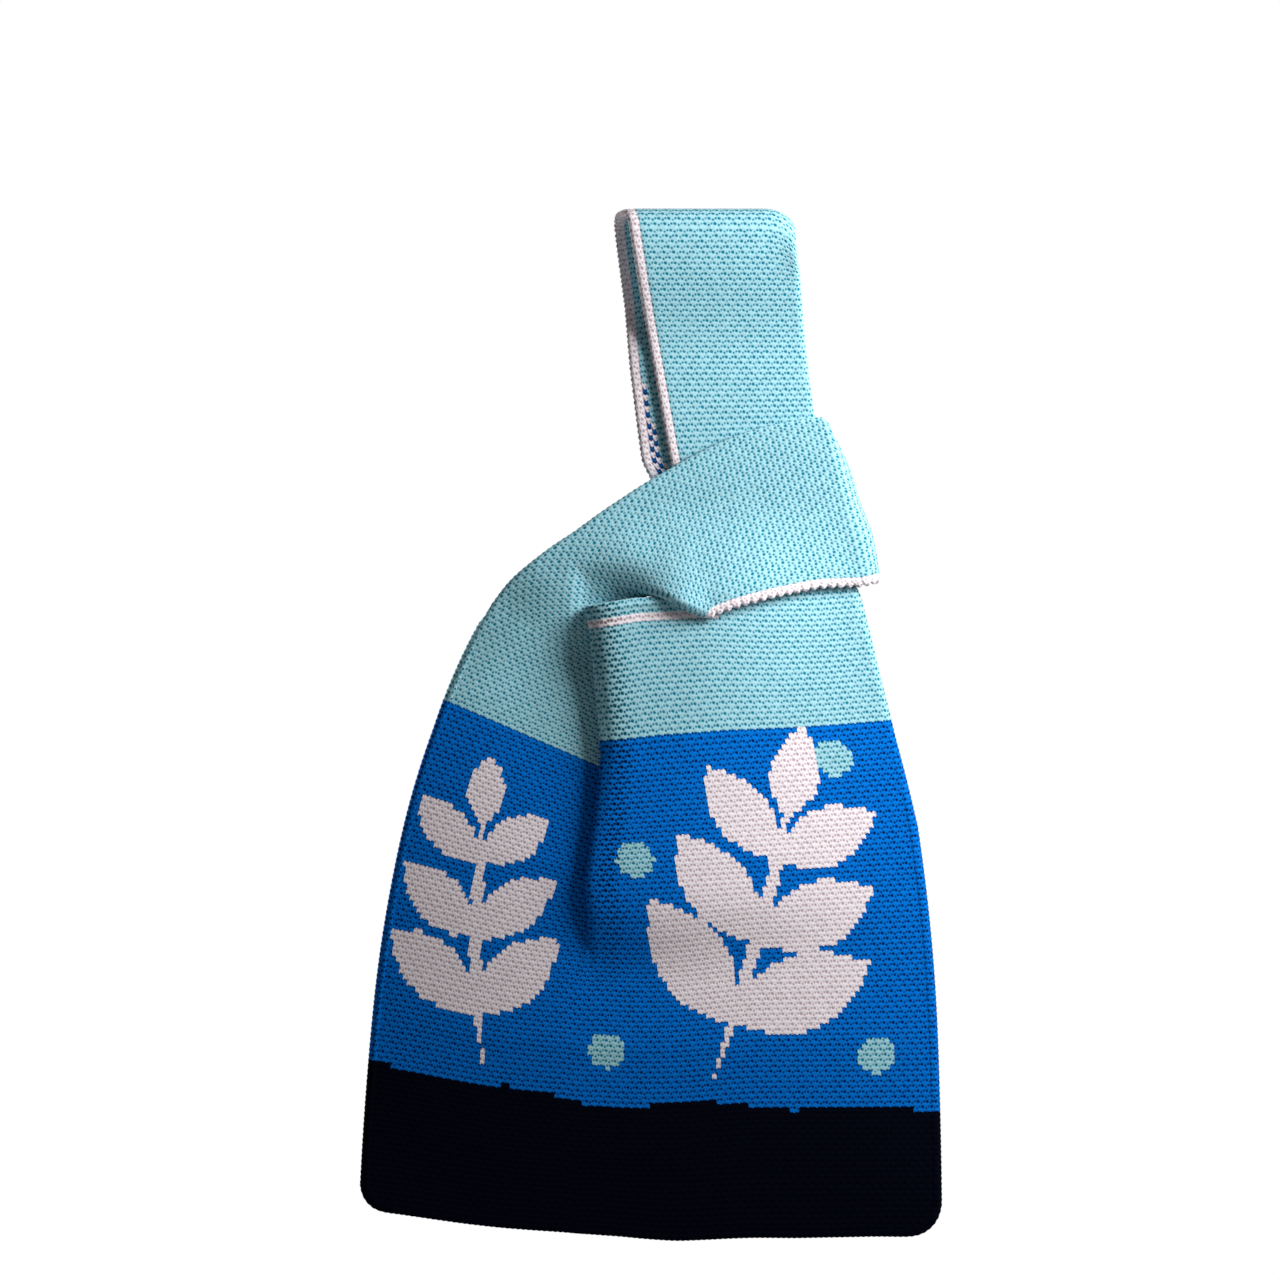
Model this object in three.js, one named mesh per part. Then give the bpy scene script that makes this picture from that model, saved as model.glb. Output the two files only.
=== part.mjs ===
// A knit knot bag, hanging from the crest of its long handle, with the short handle wrapped round it.
// Millimetres. X runs across the bag to the right, Y from front to back, Z up.
// The origin is on the underside of the long handle's crest, where the bag is held.
import * as THREE from "three";

// The knit laid flat
const PANEL_WIDTH = 196; // side seam to side seam
const MOUTH_HEIGHT = 224; // bottom seam to mouth
const HANDLE_WIDTH = 57;
const LONG_RISE = 136; // mouth to the crest of the long handle
const FABRIC = 2.6; // thickness of the jacquard
const BINDING_WIDTH = 3.5; // white edge along the inside of both handles
const RIM_DEPTH = 7.5; // hem of the mouth
const LEFT_CORNER = 14; // radius of the bottom corners
const RIGHT_CORNER = 9;
const SEAM_DEPTH = 2.2; // how far a linked seam stands out past the panels

// Clearances
const JOIN_GAP = 0.3; // between pieces that meet edge to edge
const SEAM_GAP = 0.5; // between a panel's edge and its seam
const PLY_GAP = 0.4; // between plies that lie on each other
const LEG_GAP = 0.7; // between front and back where the bag lies flat
const WRAP_EASE = 0.5; // slack of the short loop round the long handle
const FOLD_EASE = 0.6; // slack at its fold
const HINGE_EASE = 0.5; // between the two sides of the swinging fold

// Depths from the middle plane
const BELLY = 5.5; // how far the panels stand apart from flat
const LOOP_HALF = 11; // half the gap inside the carry loop, to the middle of the fabric
const GRIP_HALF = 5; // half the flat part of the crest
const LEG_SPREAD = 2.2; // how far each leg of the short handle opens above the side seam

// The hanging shape
const BOTTOM_TILT = [[0, 8], [0.25, 4], [0.5, 1], [1, 0.5]]; // degrees, from the left to the right corner
const LEFT_LEAN = [[0, 2], [0.31, 5], [0.57, 12], [0.8, 22], [1, 36]]; // degrees, up to the mouth
const SHORT_LEAN = [[0, 36], [0.22, 50], [0.48, 59], [0.84, 70], [1, 84]]; // and along the short handle
const RIGHT_LEAN = [[0, 0], [0.27, -1.5], [0.54, -7], [0.76, -10.5], [1, -13]];
const LONG_LEAN = [[0, -13], [0.28, -16], [0.49, -8], [0.89, -3], [1, -3]]; // along the long handle
const LEFT_COURSE = [[0, 7], [0.4, 9], [0.57, 15], [0.78, 22], [1, 34]]; // fall of the courses to the right
const RIGHT_COURSE = [[0, -0.8], [0.27, 0], [0.54, 2.5], [0.78, 4.5], [1, 4]]; // fall to the left
const BELLY_SHARE = [[0, 0], [0.12, 0.5], [0.3, 1], [0.6, 1], [1, 0.5]]; // of the belly, by height
const SHORT_REACH = 128; // mouth to fold along the short handle's outer edge
const CREST_RIGHT = 27.5; // right corner of the crest
const CREST_DROOP = 10; // how far that corner hangs down
const DROOP_WIDTH = 15; // and how much of the crest hangs with it
const DROOP_HEIGHT = 25;
const STRAP_LEFT_LEAN = [[0, -14], [0.35, -12], [1, -9.5]]; // inner edge of the long handle
const BACK_SHIFT = [[0.15, 0], [0.38, -8], [1, -5]]; // the back leg lies further left than the front one

// The pleat that the knot pulls into each panel
const PLEAT_APEX = 84; // where it starts, above the bottom seam
const PLEAT_CLOSED = 132; // where its plies lie flat on each other
const PLEAT_EDGE = [[0.38, -19], [0.57, -14], [0.78, -1], [1, 4]]; // outer fold, from the panel's middle
const PLEAT_TUCK = [[0.38, 12], [0.57, 13], [0.78, 23], [1, 40]]; // width of the hidden ply
const PLEAT_BLEND = 60; // how far its bend of the courses reaches

// The knot
const KNOT_FADE = 38; // height over the mouth in which the long handle thins to flat
const CUT_RISE = 78; // mouth to the knot's left end, along the outer edge
const WRAP_LOW = 3; // the short loop on the long handle, above the mouth
const WRAP_HIGH = 64;
const CROSSING = new THREE.Vector2(-4, 5.5); // where the loop's inner edge passes over the mouth's corner
const CROSSING_SLOPE = 12; // width in which the loop comes forward there
const CROSSING_SHARE = 0.65;
const COMES_FORWARD = 0.8; // share of the short handle's inner edge that stays behind the mouth
const IN_FRONT = 0.7; // share of its outer edge by which it lies in front
const SPREAD_BY = 0.25; // share by which the two legs have opened
const LOW_DROOP = new THREE.Vector2(6, -11); // sag of the loop's lower edge
const LOW_RUN = new THREE.Vector2(-33, -7);
const HIGH_BEND = new THREE.Vector2(-24, -0.5);
const FOLD_DROOP = 9; // how far the fold's upper corner hangs down

// The swinging fold of the long handle
const HINGE_DROP = 50; // below the crest, along the handle
const SWING = 60; // degrees each way

const DEGREE = Math.PI / 180;
const HALF = PANEL_WIDTH / 2;
const PLY = FABRIC + PLY_GAP;
const FLAT_DEPTH = (FABRIC + LEG_GAP) / 2;
const CREST_AT = MOUTH_HEIGHT + LONG_RISE;
const HEM_AT = MOUTH_HEIGHT - RIM_DEPTH;
const NECK_HALF = HALF - HANDLE_WIDTH;
const FOLD_RADIUS = PLY / 2;
const TEAL = 0x7cc6cf;
const BLUE = 0x0f63c4;
const NAVY = 0x0a1226;
const WHITE = 0xe9dfe4;

const { lerp, smoothstep } = THREE.MathUtils;

/** A value along stations of [share, value], straight between them. */
function along(stations, share) {
  let k = 1;
  while (k < stations.length - 1 && share > stations[k][0]) k += 1;
  const [a, va] = stations[k - 1];
  const [b, vb] = stations[k];
  return lerp(va, vb, THREE.MathUtils.clamp((share - a) / (b - a), 0, 1));
}

/** An edge of the panel, laid out from how far it leans off upright at each height along it. */
class DrapedEdge {
  constructor(leanAt, length, anchorAt, anchor) {
    this.step = length / Math.round(length);
    this.points = [new THREE.Vector2()];
    for (let at = this.step / 2; at < length; at += this.step) {
      const lean = leanAt(at) * DEGREE;
      const last = this.points[this.points.length - 1];
      const run = new THREE.Vector2(Math.sin(lean), Math.cos(lean));
      this.points.push(last.clone().addScaledVector(run, this.step));
    }
    const shift = anchor.clone().sub(this.at(anchorAt));
    this.points.forEach((point) => point.add(shift));
  }

  at(height) {
    const last = this.points.length - 1;
    const k = THREE.MathUtils.clamp(height / this.step, 0, last);
    const low = Math.min(Math.floor(k), last - 1);
    return this.points[low].clone().lerp(this.points[low + 1], k - low);
  }
}

/** Lean of a whole edge: one set of stations up to the mouth and one along the handle. */
function edgeLean(body, handle, reach) {
  return (at) =>
    at < MOUTH_HEIGHT ? along(body, at / MOUTH_HEIGHT) : along(handle, (at - MOUTH_HEIGHT) / reach);
}

const crestCorner = new THREE.Vector2(CREST_RIGHT, FABRIC / 2);
const rightLean = edgeLean(RIGHT_LEAN, LONG_LEAN, LONG_RISE);
const rightEdge = new DrapedEdge(rightLean, CREST_AT, CREST_AT, crestCorner);
const bottomLean = (at) => 90 + along(BOTTOM_TILT, at / PANEL_WIDTH);
const bottomEdge = new DrapedEdge(bottomLean, PANEL_WIDTH, PANEL_WIDTH, rightEdge.at(0));
const leftLean = edgeLean(LEFT_LEAN, SHORT_LEAN, SHORT_REACH);
const leftEdge = new DrapedEdge(leftLean, MOUTH_HEIGHT + SHORT_REACH, 0, bottomEdge.at(0));

/** Direction of a course, per millimetre of knit, from the left edge. */
function leftCourse(height) {
  const fall = along(LEFT_COURSE, height / MOUTH_HEIGHT) * DEGREE;
  return new THREE.Vector2(Math.cos(fall), -Math.sin(fall));
}

/** Direction of a course, per millimetre of knit, from the right edge. */
function rightCourse(height) {
  const fall = along(RIGHT_COURSE, height / MOUTH_HEIGHT) * DEGREE;
  return new THREE.Vector2(-Math.cos(fall), -Math.sin(fall));
}

const neckCorner = rightEdge.at(MOUTH_HEIGHT).addScaledVector(rightCourse(MOUTH_HEIGHT), HANDLE_WIDTH);
const strapEdge = new DrapedEdge((at) => along(STRAP_LEFT_LEAN, at / LONG_RISE), LONG_RISE, 0, neckCorner);

/** Where a point of the left half hangs, seen from the front: across from the middle, up from the bottom. */
function leftHalf(across, height) {
  return leftEdge.at(height).addScaledVector(leftCourse(height), across + HALF);
}

/** Where a point of the right half or of the long handle hangs. */
function rightHalf(across, height) {
  const edge = rightEdge.at(height);
  if (height <= MOUTH_HEIGHT) return edge.addScaledVector(rightCourse(height), HALF - across);
  return edge.lerp(strapEdge.at(height - MOUTH_HEIGHT), (HALF - across) / HANDLE_WIDTH);
}

/** Depth of a ply with no pleat over it. */
function baseDepth(across, height) {
  const fullness = 1 - Math.abs(across / HALF) ** 3;
  const fade = 1 - smoothstep(height, MOUTH_HEIGHT, MOUTH_HEIGHT + KNOT_FADE);
  return FLAT_DEPTH + BELLY * along(BELLY_SHARE, height / MOUTH_HEIGHT) * fullness * fade;
}

/** The pleat at one height: its two folds, how far they have turned and how far its top ply is lifted. */
function pleatAt(height) {
  const share = height / MOUTH_HEIGHT;
  const edge = along(PLEAT_EDGE, share);
  const tuck = along(PLEAT_TUCK, share);
  const inner = edge - tuck;
  const turn = Math.PI * smoothstep(height, PLEAT_APEX, PLEAT_CLOSED);
  const stack = 2 * FOLD_RADIUS * (1 - Math.cos(turn));
  const innerDepth = baseDepth(inner, height);
  return { edge, tuck, inner, turn, innerDepth, outerDepth: innerDepth + stack };
}

/** Depth of the right half, which lies over the pleat and thins to flat up the long handle. */
function rightDepth(across, height) {
  const pleat = pleatAt(Math.min(height, MOUTH_HEIGHT));
  const lift = pleat.outerDepth - baseDepth(pleat.edge, Math.min(height, MOUTH_HEIGHT));
  const fade = 1 - smoothstep(height, MOUTH_HEIGHT, MOUTH_HEIGHT + KNOT_FADE);
  const near = 1 - smoothstep(across, pleat.edge + pleat.tuck, HALF);
  return baseDepth(across, height) + lift * near * fade;
}

const onPly = (flat, depth) => new THREE.Vector3(flat.x, -depth, flat.y);

/** How much a point of the panel below the pleat takes from the other half, up to one half at the pleat. */
function blendShare(distance, height) {
  const open = 1 - smoothstep(height, PLEAT_APEX, PLEAT_CLOSED);
  return 0.5 * open * (1 - smoothstep(distance, 0, PLEAT_BLEND));
}

/** A point of the panel left of the pleat, and one right of it, seen from the front. */
function leftPly(across, height) {
  const share = blendShare(pleatAt(height).inner - across, height);
  return leftHalf(across, height).lerp(rightHalf(across, height), share);
}

function rightPly(across, height) {
  const share = blendShare(across - pleatAt(height).edge, height);
  return rightHalf(across, height).lerp(leftHalf(across, height), share);
}

const FOLD_STEPS = 4;
const FOLD_STEP = 1;

/** One course of the front panel, from across low to across high, as points in the middle of the fabric. */
function panelCourse(height, low, high, leftSteps, rightSteps) {
  const pleat = pleatAt(height);
  const left = (across) => leftPly(across, height);
  const right = (across) => rightPly(across, height);
  const points = [];
  for (let k = 0; k < leftSteps; k += 1) {
    const across = lerp(low, pleat.inner, k / leftSteps);
    points.push(onPly(left(across), baseDepth(across, height)));
  }
  const open = 1 - pleat.turn / Math.PI;
  const turnIn = [];
  const turnOut = [];
  for (let k = 0; k <= FOLD_STEPS; k += 1) {
    const angle = (pleat.turn * k) / FOLD_STEPS;
    const reach = FOLD_RADIUS * Math.sin(angle) + open * FOLD_STEP * k;
    const rise = FOLD_RADIUS * (1 - Math.cos(angle));
    const innerSpot = left(pleat.inner).addScaledVector(leftCourse(height), reach);
    const outerSpot = right(pleat.edge).addScaledVector(rightCourse(height), reach);
    turnIn.push(onPly(innerSpot, pleat.innerDepth + rise));
    turnOut.unshift(onPly(outerSpot, pleat.outerDepth - rise));
  }
  points.push(...turnIn);
  points.push(turnIn[FOLD_STEPS].clone().lerp(turnOut[0], 0.5));
  points.push(...turnOut);
  for (let k = 1; k <= rightSteps; k += 1) {
    const across = lerp(pleat.edge, high, k / rightSteps);
    points.push(onPly(right(across), rightDepth(across, height)));
  }
  return points;
}

/** A closed solid through sections with equal counts of points; each end is closed across its section. */
function loft(sections) {
  const count = sections[0].length;
  const positions = sections.flat().flatMap((point) => point.toArray());
  const index = [];
  const quad = (a, b, c, d) => index.push(a, b, c, a, c, d);
  for (let row = 0; row + 1 < sections.length; row += 1) {
    for (let k = 0; k < count; k += 1) {
      const next = (k + 1) % count;
      quad(row * count + k, row * count + next, (row + 1) * count + next, (row + 1) * count + k);
    }
  }
  const last = (sections.length - 1) * count;
  for (let k = 0; k + 1 < count / 2; k += 1) {
    quad(k + 1, k, count - 1 - k, count - 2 - k);
    quad(last + k, last + k + 1, last + count - 2 - k, last + count - 1 - k);
  }
  const geometry = new THREE.BufferGeometry();
  geometry.setAttribute("position", new THREE.Float32BufferAttribute(positions, 3));
  geometry.setIndex(facingOut(positions, index));
  geometry.computeVertexNormals();
  return geometry;
}

/** The triangles, turned round if they enclose a negative volume. */
function facingOut(positions, index) {
  const corner = (k) => new THREE.Vector3().fromArray(positions, 3 * index[k]);
  let volume = 0;
  for (let k = 0; k < index.length; k += 3) {
    volume += corner(k).dot(corner(k + 1).cross(corner(k + 2)));
  }
  return volume > 0 ? index : index.slice().reverse();
}

/** Normals of a grid of points, from the neighbours along and across it. */
function gridNormals(rows) {
  return rows.map((row, r) =>
    row.map((_, c) => {
      const across = row[Math.min(c + 1, row.length - 1)].clone().sub(row[Math.max(c - 1, 0)]);
      const upper = rows[Math.min(r + 1, rows.length - 1)][c];
      const up = upper.clone().sub(rows[Math.max(r - 1, 0)][c]);
      return across.cross(up).normalize();
    }),
  );
}

const FRONT = 1;
const BACK = -1;
const FORWARD = new THREE.Vector3(0, -1, 0);

/** Normals of fabric that faces straight forward all over. */
function allForward(rows) {
  return rows.map((row) => row.map(() => FORWARD));
}

/** Sections of fabric of one thickness on a grid of middle points with their normals. */
function fabric(rows, normals) {
  return rows.map((row, r) => {
    const offset = (side) =>
      row.map((point, c) => point.clone().addScaledVector(normals[r][c], (side * FABRIC) / 2));
    return [...offset(1), ...offset(-1).reverse()];
  });
}

/** The same sections for the front, or mirrored for the back. */
function sided(sections, side) {
  const turned = (point) => new THREE.Vector3(point.x, side * point.y, point.z);
  return sections.map((section) => section.map(turned));
}

const group = new THREE.Group();

/** Adds one named piece of the bag. */
function addPiece(name, geometry, color, roughness = 0.85) {
  const material = new THREE.MeshStandardMaterial({ color, roughness, metalness: 0 });
  const mesh = new THREE.Mesh(geometry, material);
  mesh.name = name;
  group.add(mesh);
}

const steps = (count, from, to) => Array.from({ length: count + 1 }, (_, k) => lerp(from, to, k / count));

/** How far a rounded bottom corner draws the panel's edge in, at a height. */
function cornerInset(radius, height) {
  return height < radius ? radius - Math.sqrt(radius ** 2 - (radius - height) ** 2) : 0;
}

/** A closed solid of fabric for one side of the bag. */
function sidedFabric(rows, normals, side) {
  return loft(sided(fabric(rows, normals), side));
}

const LEFT_COLUMNS = 6;
const RIGHT_COLUMNS = 7;
const PANEL_ROWS = 11;
const HEM_LEFT_COLUMNS = 2;
const HEM_RIGHT_COLUMNS = 3;
const HEM_ROWS = 2;
const SEAM_ROWS = 10;
const CORNER_SHARES = [0.12, 0.4, 1];

/** Heights that draw both rounded corners of the bottom. */
function cornerHeights() {
  const heights = CORNER_SHARES.flatMap((share) => [share * LEFT_CORNER, share * RIGHT_CORNER]);
  return [...new Set(heights)].sort((a, b) => a - b);
}

/** A panel and the hem of its mouth, front or back. */
function buildPanel(side, word) {
  const corners = cornerHeights();
  const heights = [0, ...corners, ...steps(PANEL_ROWS, corners[corners.length - 1], HEM_AT).slice(1)];
  const rows = heights.map((height) => {
    const low = cornerInset(LEFT_CORNER, height) - HALF;
    const high = HALF - cornerInset(RIGHT_CORNER, height);
    return panelCourse(height, low, high, LEFT_COLUMNS, RIGHT_COLUMNS);
  });
  addPiece(word + "_panel", sidedFabric(rows, gridNormals(rows), side), BLUE);

  const reach = NECK_HALF - JOIN_GAP;
  const hem = steps(HEM_ROWS, HEM_AT + JOIN_GAP, MOUTH_HEIGHT).map((height) =>
    panelCourse(height, -reach, reach, HEM_LEFT_COLUMNS, HEM_RIGHT_COLUMNS));
  addPiece(word + "_mouth_hem", sidedFabric(hem, gridNormals(hem), side), TEAL);
}

/** A linked seam along a path that has the bag on its right, standing out past both panels. */
function seam(path) {
  const thick = FLAT_DEPTH + FABRIC / 2;
  return loft(path.map((spot, k) => {
    const run = path[Math.min(k + 1, path.length - 1)].clone().sub(path[Math.max(k - 1, 0)]).normalize();
    const out = new THREE.Vector2(-run.y, run.x);
    const near = spot.clone().addScaledVector(out, SEAM_GAP);
    const far = spot.clone().addScaledVector(out, SEAM_GAP + SEAM_DEPTH);
    return [onPly(near, thick), onPly(far, thick / 2), onPly(far, -thick / 2), onPly(near, -thick)];
  }));
}

/** The seams of both sides and of the bottom with its rounded corners. */
function buildSeams() {
  const sideHeights = (corner) => steps(SEAM_ROWS, corner + JOIN_GAP, HEM_AT);
  const left = sideHeights(LEFT_CORNER).map((height) => leftPly(-HALF, height));
  const right = sideHeights(RIGHT_CORNER).map((height) => rightPly(HALF, height)).reverse();
  addPiece("left_side_seam", seam(left), BLUE);
  addPiece("right_side_seam", seam(right), BLUE);

  const heights = (radius) => cornerHeights().filter((height) => height <= radius);
  const leftCorner = heights(LEFT_CORNER).map((height) =>
    leftPly(cornerInset(LEFT_CORNER, height) - HALF, height));
  const rightCorner = heights(RIGHT_CORNER).map((height) =>
    rightPly(HALF - cornerInset(RIGHT_CORNER, height), height));
  const bottom = panelCourse(0, LEFT_CORNER - HALF, HALF - RIGHT_CORNER, LEFT_COLUMNS, RIGHT_COLUMNS);
  const flat = bottom.map((point) => new THREE.Vector2(point.x, point.z));
  addPiece("bottom_seam", seam([...rightCorner.reverse(), ...flat.reverse(), ...leftCorner]), NAVY);
}

const hingeAt = CREST_AT - HINGE_DROP;
const hingeHeight = rightEdge.at(hingeAt).y;
const hingeRadius = Math.hypot(FLAT_DEPTH + FABRIC / 2, FABRIC / 2);
const hingeClear = hingeRadius / Math.cos((SWING / 2) * DEGREE) + HINGE_EASE;

/** Sets the end of a handle to a round about the swinging fold. */
function roundEnd(section, radius) {
  section.forEach((point) => {
    point.z = hingeHeight + Math.sqrt(radius ** 2 - point.y ** 2);
  });
}

const LEG = [NECK_HALF + BINDING_WIDTH + JOIN_GAP, HALF];
const BINDING = [NECK_HALF, NECK_HALF + BINDING_WIDTH];
const LEG_COLUMNS = 6;
const HANDLE_ROWS = 7;
const CREST_STEPS = 4;
const SHORT_ROWS = 9;
const WRAP_ROWS = 8;

/** Sideways shift of the long handle's back leg. */
function backShift(height) {
  return along(BACK_SHIFT, (height - MOUTH_HEIGHT) / LONG_RISE);
}

/** The long handle from the hem to the swinging fold: its leg, or the white edge of that. */
function longHandle(side, [inner, outer], columns) {
  const low = HEM_AT + JOIN_GAP;
  const heights = [...steps(HANDLE_ROWS, low, MOUTH_HEIGHT + KNOT_FADE), hingeAt - FABRIC, hingeAt];
  const rows = heights.map((height) =>
    steps(columns, inner, outer).map((across) => {
      const spot = rightHalf(across, height);
      if (side === BACK) spot.x += backShift(height);
      return onPly(spot, rightDepth(across, height));
    }));
  const sections = fabric(rows, allForward(rows));
  roundEnd(sections[sections.length - 1], hingeRadius);
  return loft(sided(sections, side));
}

/** The lower part of the long handle, from the mouth to the swinging fold. */
function buildLongHandle(side, word) {
  addPiece("long_handle_" + word + "_leg", longHandle(side, LEG, LEG_COLUMNS), TEAL);
  addPiece("long_handle_" + word + "_binding", longHandle(side, BINDING, 1), WHITE);
}

const crestRound = LOOP_HALF - GRIP_HALF;
const legTop = FABRIC / 2 - crestRound;

/** The carry loop seen from the side: up the front leg, over the crest and down the back leg. */
function loopProfile() {
  const low = hingeHeight + hingeClear;
  const rise = legTop - JOIN_GAP - low;
  const spread = LOOP_HALF - FLAT_DEPTH;
  const leg = steps(HANDLE_ROWS, 0, 1).map((share) => {
    const flare = 6 * spread * share * (1 - share); // slope of the smooth step
    return {
      depth: -FLAT_DEPTH - spread * smoothstep(share, 0, 1),
      height: low + rise * share,
      out: new THREE.Vector2(-rise, -flare).normalize(),
      turn: 0,
    };
  });
  const crest = steps(CREST_STEPS, 0, Math.PI / 2).map((angle) => {
    const out = new THREE.Vector2(-Math.cos(angle), Math.sin(angle));
    const depth = crestRound * out.x - GRIP_HALF;
    const turn = (depth + LOOP_HALF) / (2 * LOOP_HALF);
    return { depth, height: legTop + crestRound * out.y, out, turn };
  });
  const mirrored = [...leg, ...crest].reverse().map(({ depth, height, out, turn }) =>
    ({ depth: -depth, height, out: new THREE.Vector2(-out.x, out.y), turn: 1 - turn }));
  return { spots: [...leg, ...crest, ...mirrored], legCount: leg.length };
}

/** Lets the free right corner of the crest hang down. */
function droop(point) {
  const near = Math.max((point.x - CREST_RIGHT + DROOP_WIDTH) / DROOP_WIDTH, 0);
  point.z -= CREST_DROOP * near ** 3 * smoothstep(point.z, -DROOP_HEIGHT, 0);
}

/** Sections of the carry loop's fabric between two distances across it, one for each spot. */
function loopSections(spots, [low, high], columns) {
  return spots.map(({ depth, height, out, turn }) => {
    const handleAt = CREST_AT + Math.min(height - FABRIC / 2, 0);
    const shift = turn * backShift(handleAt);
    const half = new THREE.Vector3(0, out.x, out.y).multiplyScalar(FABRIC / 2);
    const row = steps(columns, low, high).map((across) =>
      new THREE.Vector3(rightHalf(across, handleAt).x + shift, depth, height));
    const outer = row.map((point) => point.clone().add(half));
    const inner = row.map((point) => point.clone().sub(half));
    return [...outer, ...inner.reverse()];
  });
}

/** The held loop of the long handle: two legs, the crest between them and one white edge along all three. */
function buildCarryLoop() {
  const { spots, legCount } = loopProfile();
  const finished = (sections) => {
    sections.flat().forEach(droop);
    return loft(sections);
  };
  const wide = loopSections(spots, LEG, LEG_COLUMNS);
  const edge = loopSections(spots, BINDING, 1);
  [wide, edge].forEach((sections) => {
    roundEnd(sections[0], hingeClear);
    roundEnd(sections[sections.length - 1], hingeClear);
  });
  addPiece("carry_loop_front_leg", finished(wide.slice(0, legCount)), TEAL);
  addPiece("carry_loop_crest", finished(wide.slice(legCount, -legCount)), TEAL);
  addPiece("carry_loop_back_leg", finished(wide.slice(-legCount)), TEAL);
  addPiece("carry_loop_binding", finished(edge), WHITE);
}

const knotEnd = leftEdge.at(MOUTH_HEIGHT + CUT_RISE);
const crossing = neckCorner.clone().add(CROSSING);
const wrapDepthFlat = FLAT_DEPTH + PLY + WRAP_EASE;

/** Depth of the short loop where it lies on the long handle, or beside it on its way there. */
function wrapDepth(spot) {
  const mouthRight = rightEdge.at(MOUTH_HEIGHT);
  const mouthTilt = (mouthRight.y - neckCorner.y) / (mouthRight.x - neckCorner.x);
  const height = MOUTH_HEIGHT + spot.y - neckCorner.y - (spot.x - neckCorner.x) * mouthTilt;
  const right = rightHalf(HALF, height).x;
  const left = rightHalf(NECK_HALF, height).x;
  const across = HALF - (HANDLE_WIDTH * (right - spot.x)) / (right - left);
  const bulge = rightDepth(THREE.MathUtils.clamp(across, NECK_HALF, HALF), height) - FLAT_DEPTH;
  const beside = THREE.MathUtils.clamp((left - spot.x) / CROSSING_SLOPE, 0, 1);
  return wrapDepthFlat + bulge * (1 - CROSSING_SHARE * beside);
}

/** A point of the short handle: share runs from hem to knot, width from its inner to its outer edge. */
function shortHandlePoint(share, width) {
  const low = HEM_AT + JOIN_GAP;
  const outer = leftEdge.at(lerp(low, MOUTH_HEIGHT + CUT_RISE, share));
  const spot = leftHalf(-NECK_HALF, low).lerp(crossing, share).lerp(outer, width);
  const spread = LEG_SPREAD * width * smoothstep(share, 0, SPREAD_BY);
  const behind = baseDepth(lerp(-NECK_HALF, -HALF, width), low) + spread;
  const forward = smoothstep(share, COMES_FORWARD * (1 - width), lerp(1, IN_FRONT, width));
  return onPly(spot, lerp(behind, wrapDepth(spot), forward));
}

const bindingShare = BINDING_WIDTH / HANDLE_WIDTH;
const legShare = (BINDING_WIDTH + JOIN_GAP) / HANDLE_WIDTH;

/** The short handle from the hem to the knot, front or back. */
function buildShortHandle(side, word) {
  const piece = (low, high, columns) => {
    const rows = steps(SHORT_ROWS, 0, 1).map((share) =>
      steps(columns, low, high).map((width) => shortHandlePoint(share, width)));
    return sidedFabric(rows, allForward(rows), side);
  };
  addPiece("short_handle_" + word + "_leg", piece(legShare, 1, LEG_COLUMNS), TEAL);
  addPiece("short_handle_" + word + "_binding", piece(0, bindingShare, 1), WHITE);
}

const foldLow = rightEdge.at(MOUTH_HEIGHT + WRAP_LOW).add(new THREE.Vector2(FOLD_EASE, 0));
const foldHigh = rightEdge.at(MOUTH_HEIGHT + WRAP_HIGH).add(new THREE.Vector2(FOLD_EASE, 0));
const clearOfLeg = new THREE.Vector2(JOIN_GAP, 0);
const wrapLow = new THREE.CubicBezierCurve(
  crossing.clone().add(clearOfLeg),
  crossing.clone().add(LOW_DROOP),
  foldLow.clone().add(LOW_RUN),
  foldLow,
);
const wrapHigh = new THREE.QuadraticBezierCurve(
  knotEnd.clone().add(clearOfLeg),
  foldHigh.clone().add(HIGH_BEND),
  foldHigh,
);
const wrapAt = (share, width) => wrapLow.getPoint(share).lerp(wrapHigh.getPoint(share), width);

/** Rows and normals of the short loop's front, from the knot's left end to its fold. */
function wrapFront(low, high, columns) {
  const rows = steps(WRAP_ROWS, 0, 1).map((share) =>
    steps(columns, low, high).map((width) => {
      const spot = wrapAt(share, width);
      return onPly(spot, share < 1 ? wrapDepth(spot) : wrapDepthFlat);
    }));
  return { rows, normals: allForward(rows) };
}

/** Rows and normals of the short loop's round fold, from front to back. */
function wrapFold(low, high, columns) {
  const line = foldHigh.clone().sub(foldLow).normalize();
  const gap = JOIN_GAP / wrapDepthFlat;
  const angles = steps(WRAP_ROWS, gap, Math.PI - gap);
  const outward = (angle) =>
    new THREE.Vector3(line.y * Math.sin(angle), -Math.cos(angle), -line.x * Math.sin(angle));
  const rows = angles.map((angle) =>
    steps(columns, low, high).map((width) => {
      const point = onPly(wrapAt(1, width), 0).addScaledVector(outward(angle), wrapDepthFlat);
      point.z -= FOLD_DROOP * Math.sin(angle) * width ** 3;
      return point;
    }));
  const normals = angles.map((angle) => Array(columns + 1).fill(outward(angle)));
  return { rows, normals };
}

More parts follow.
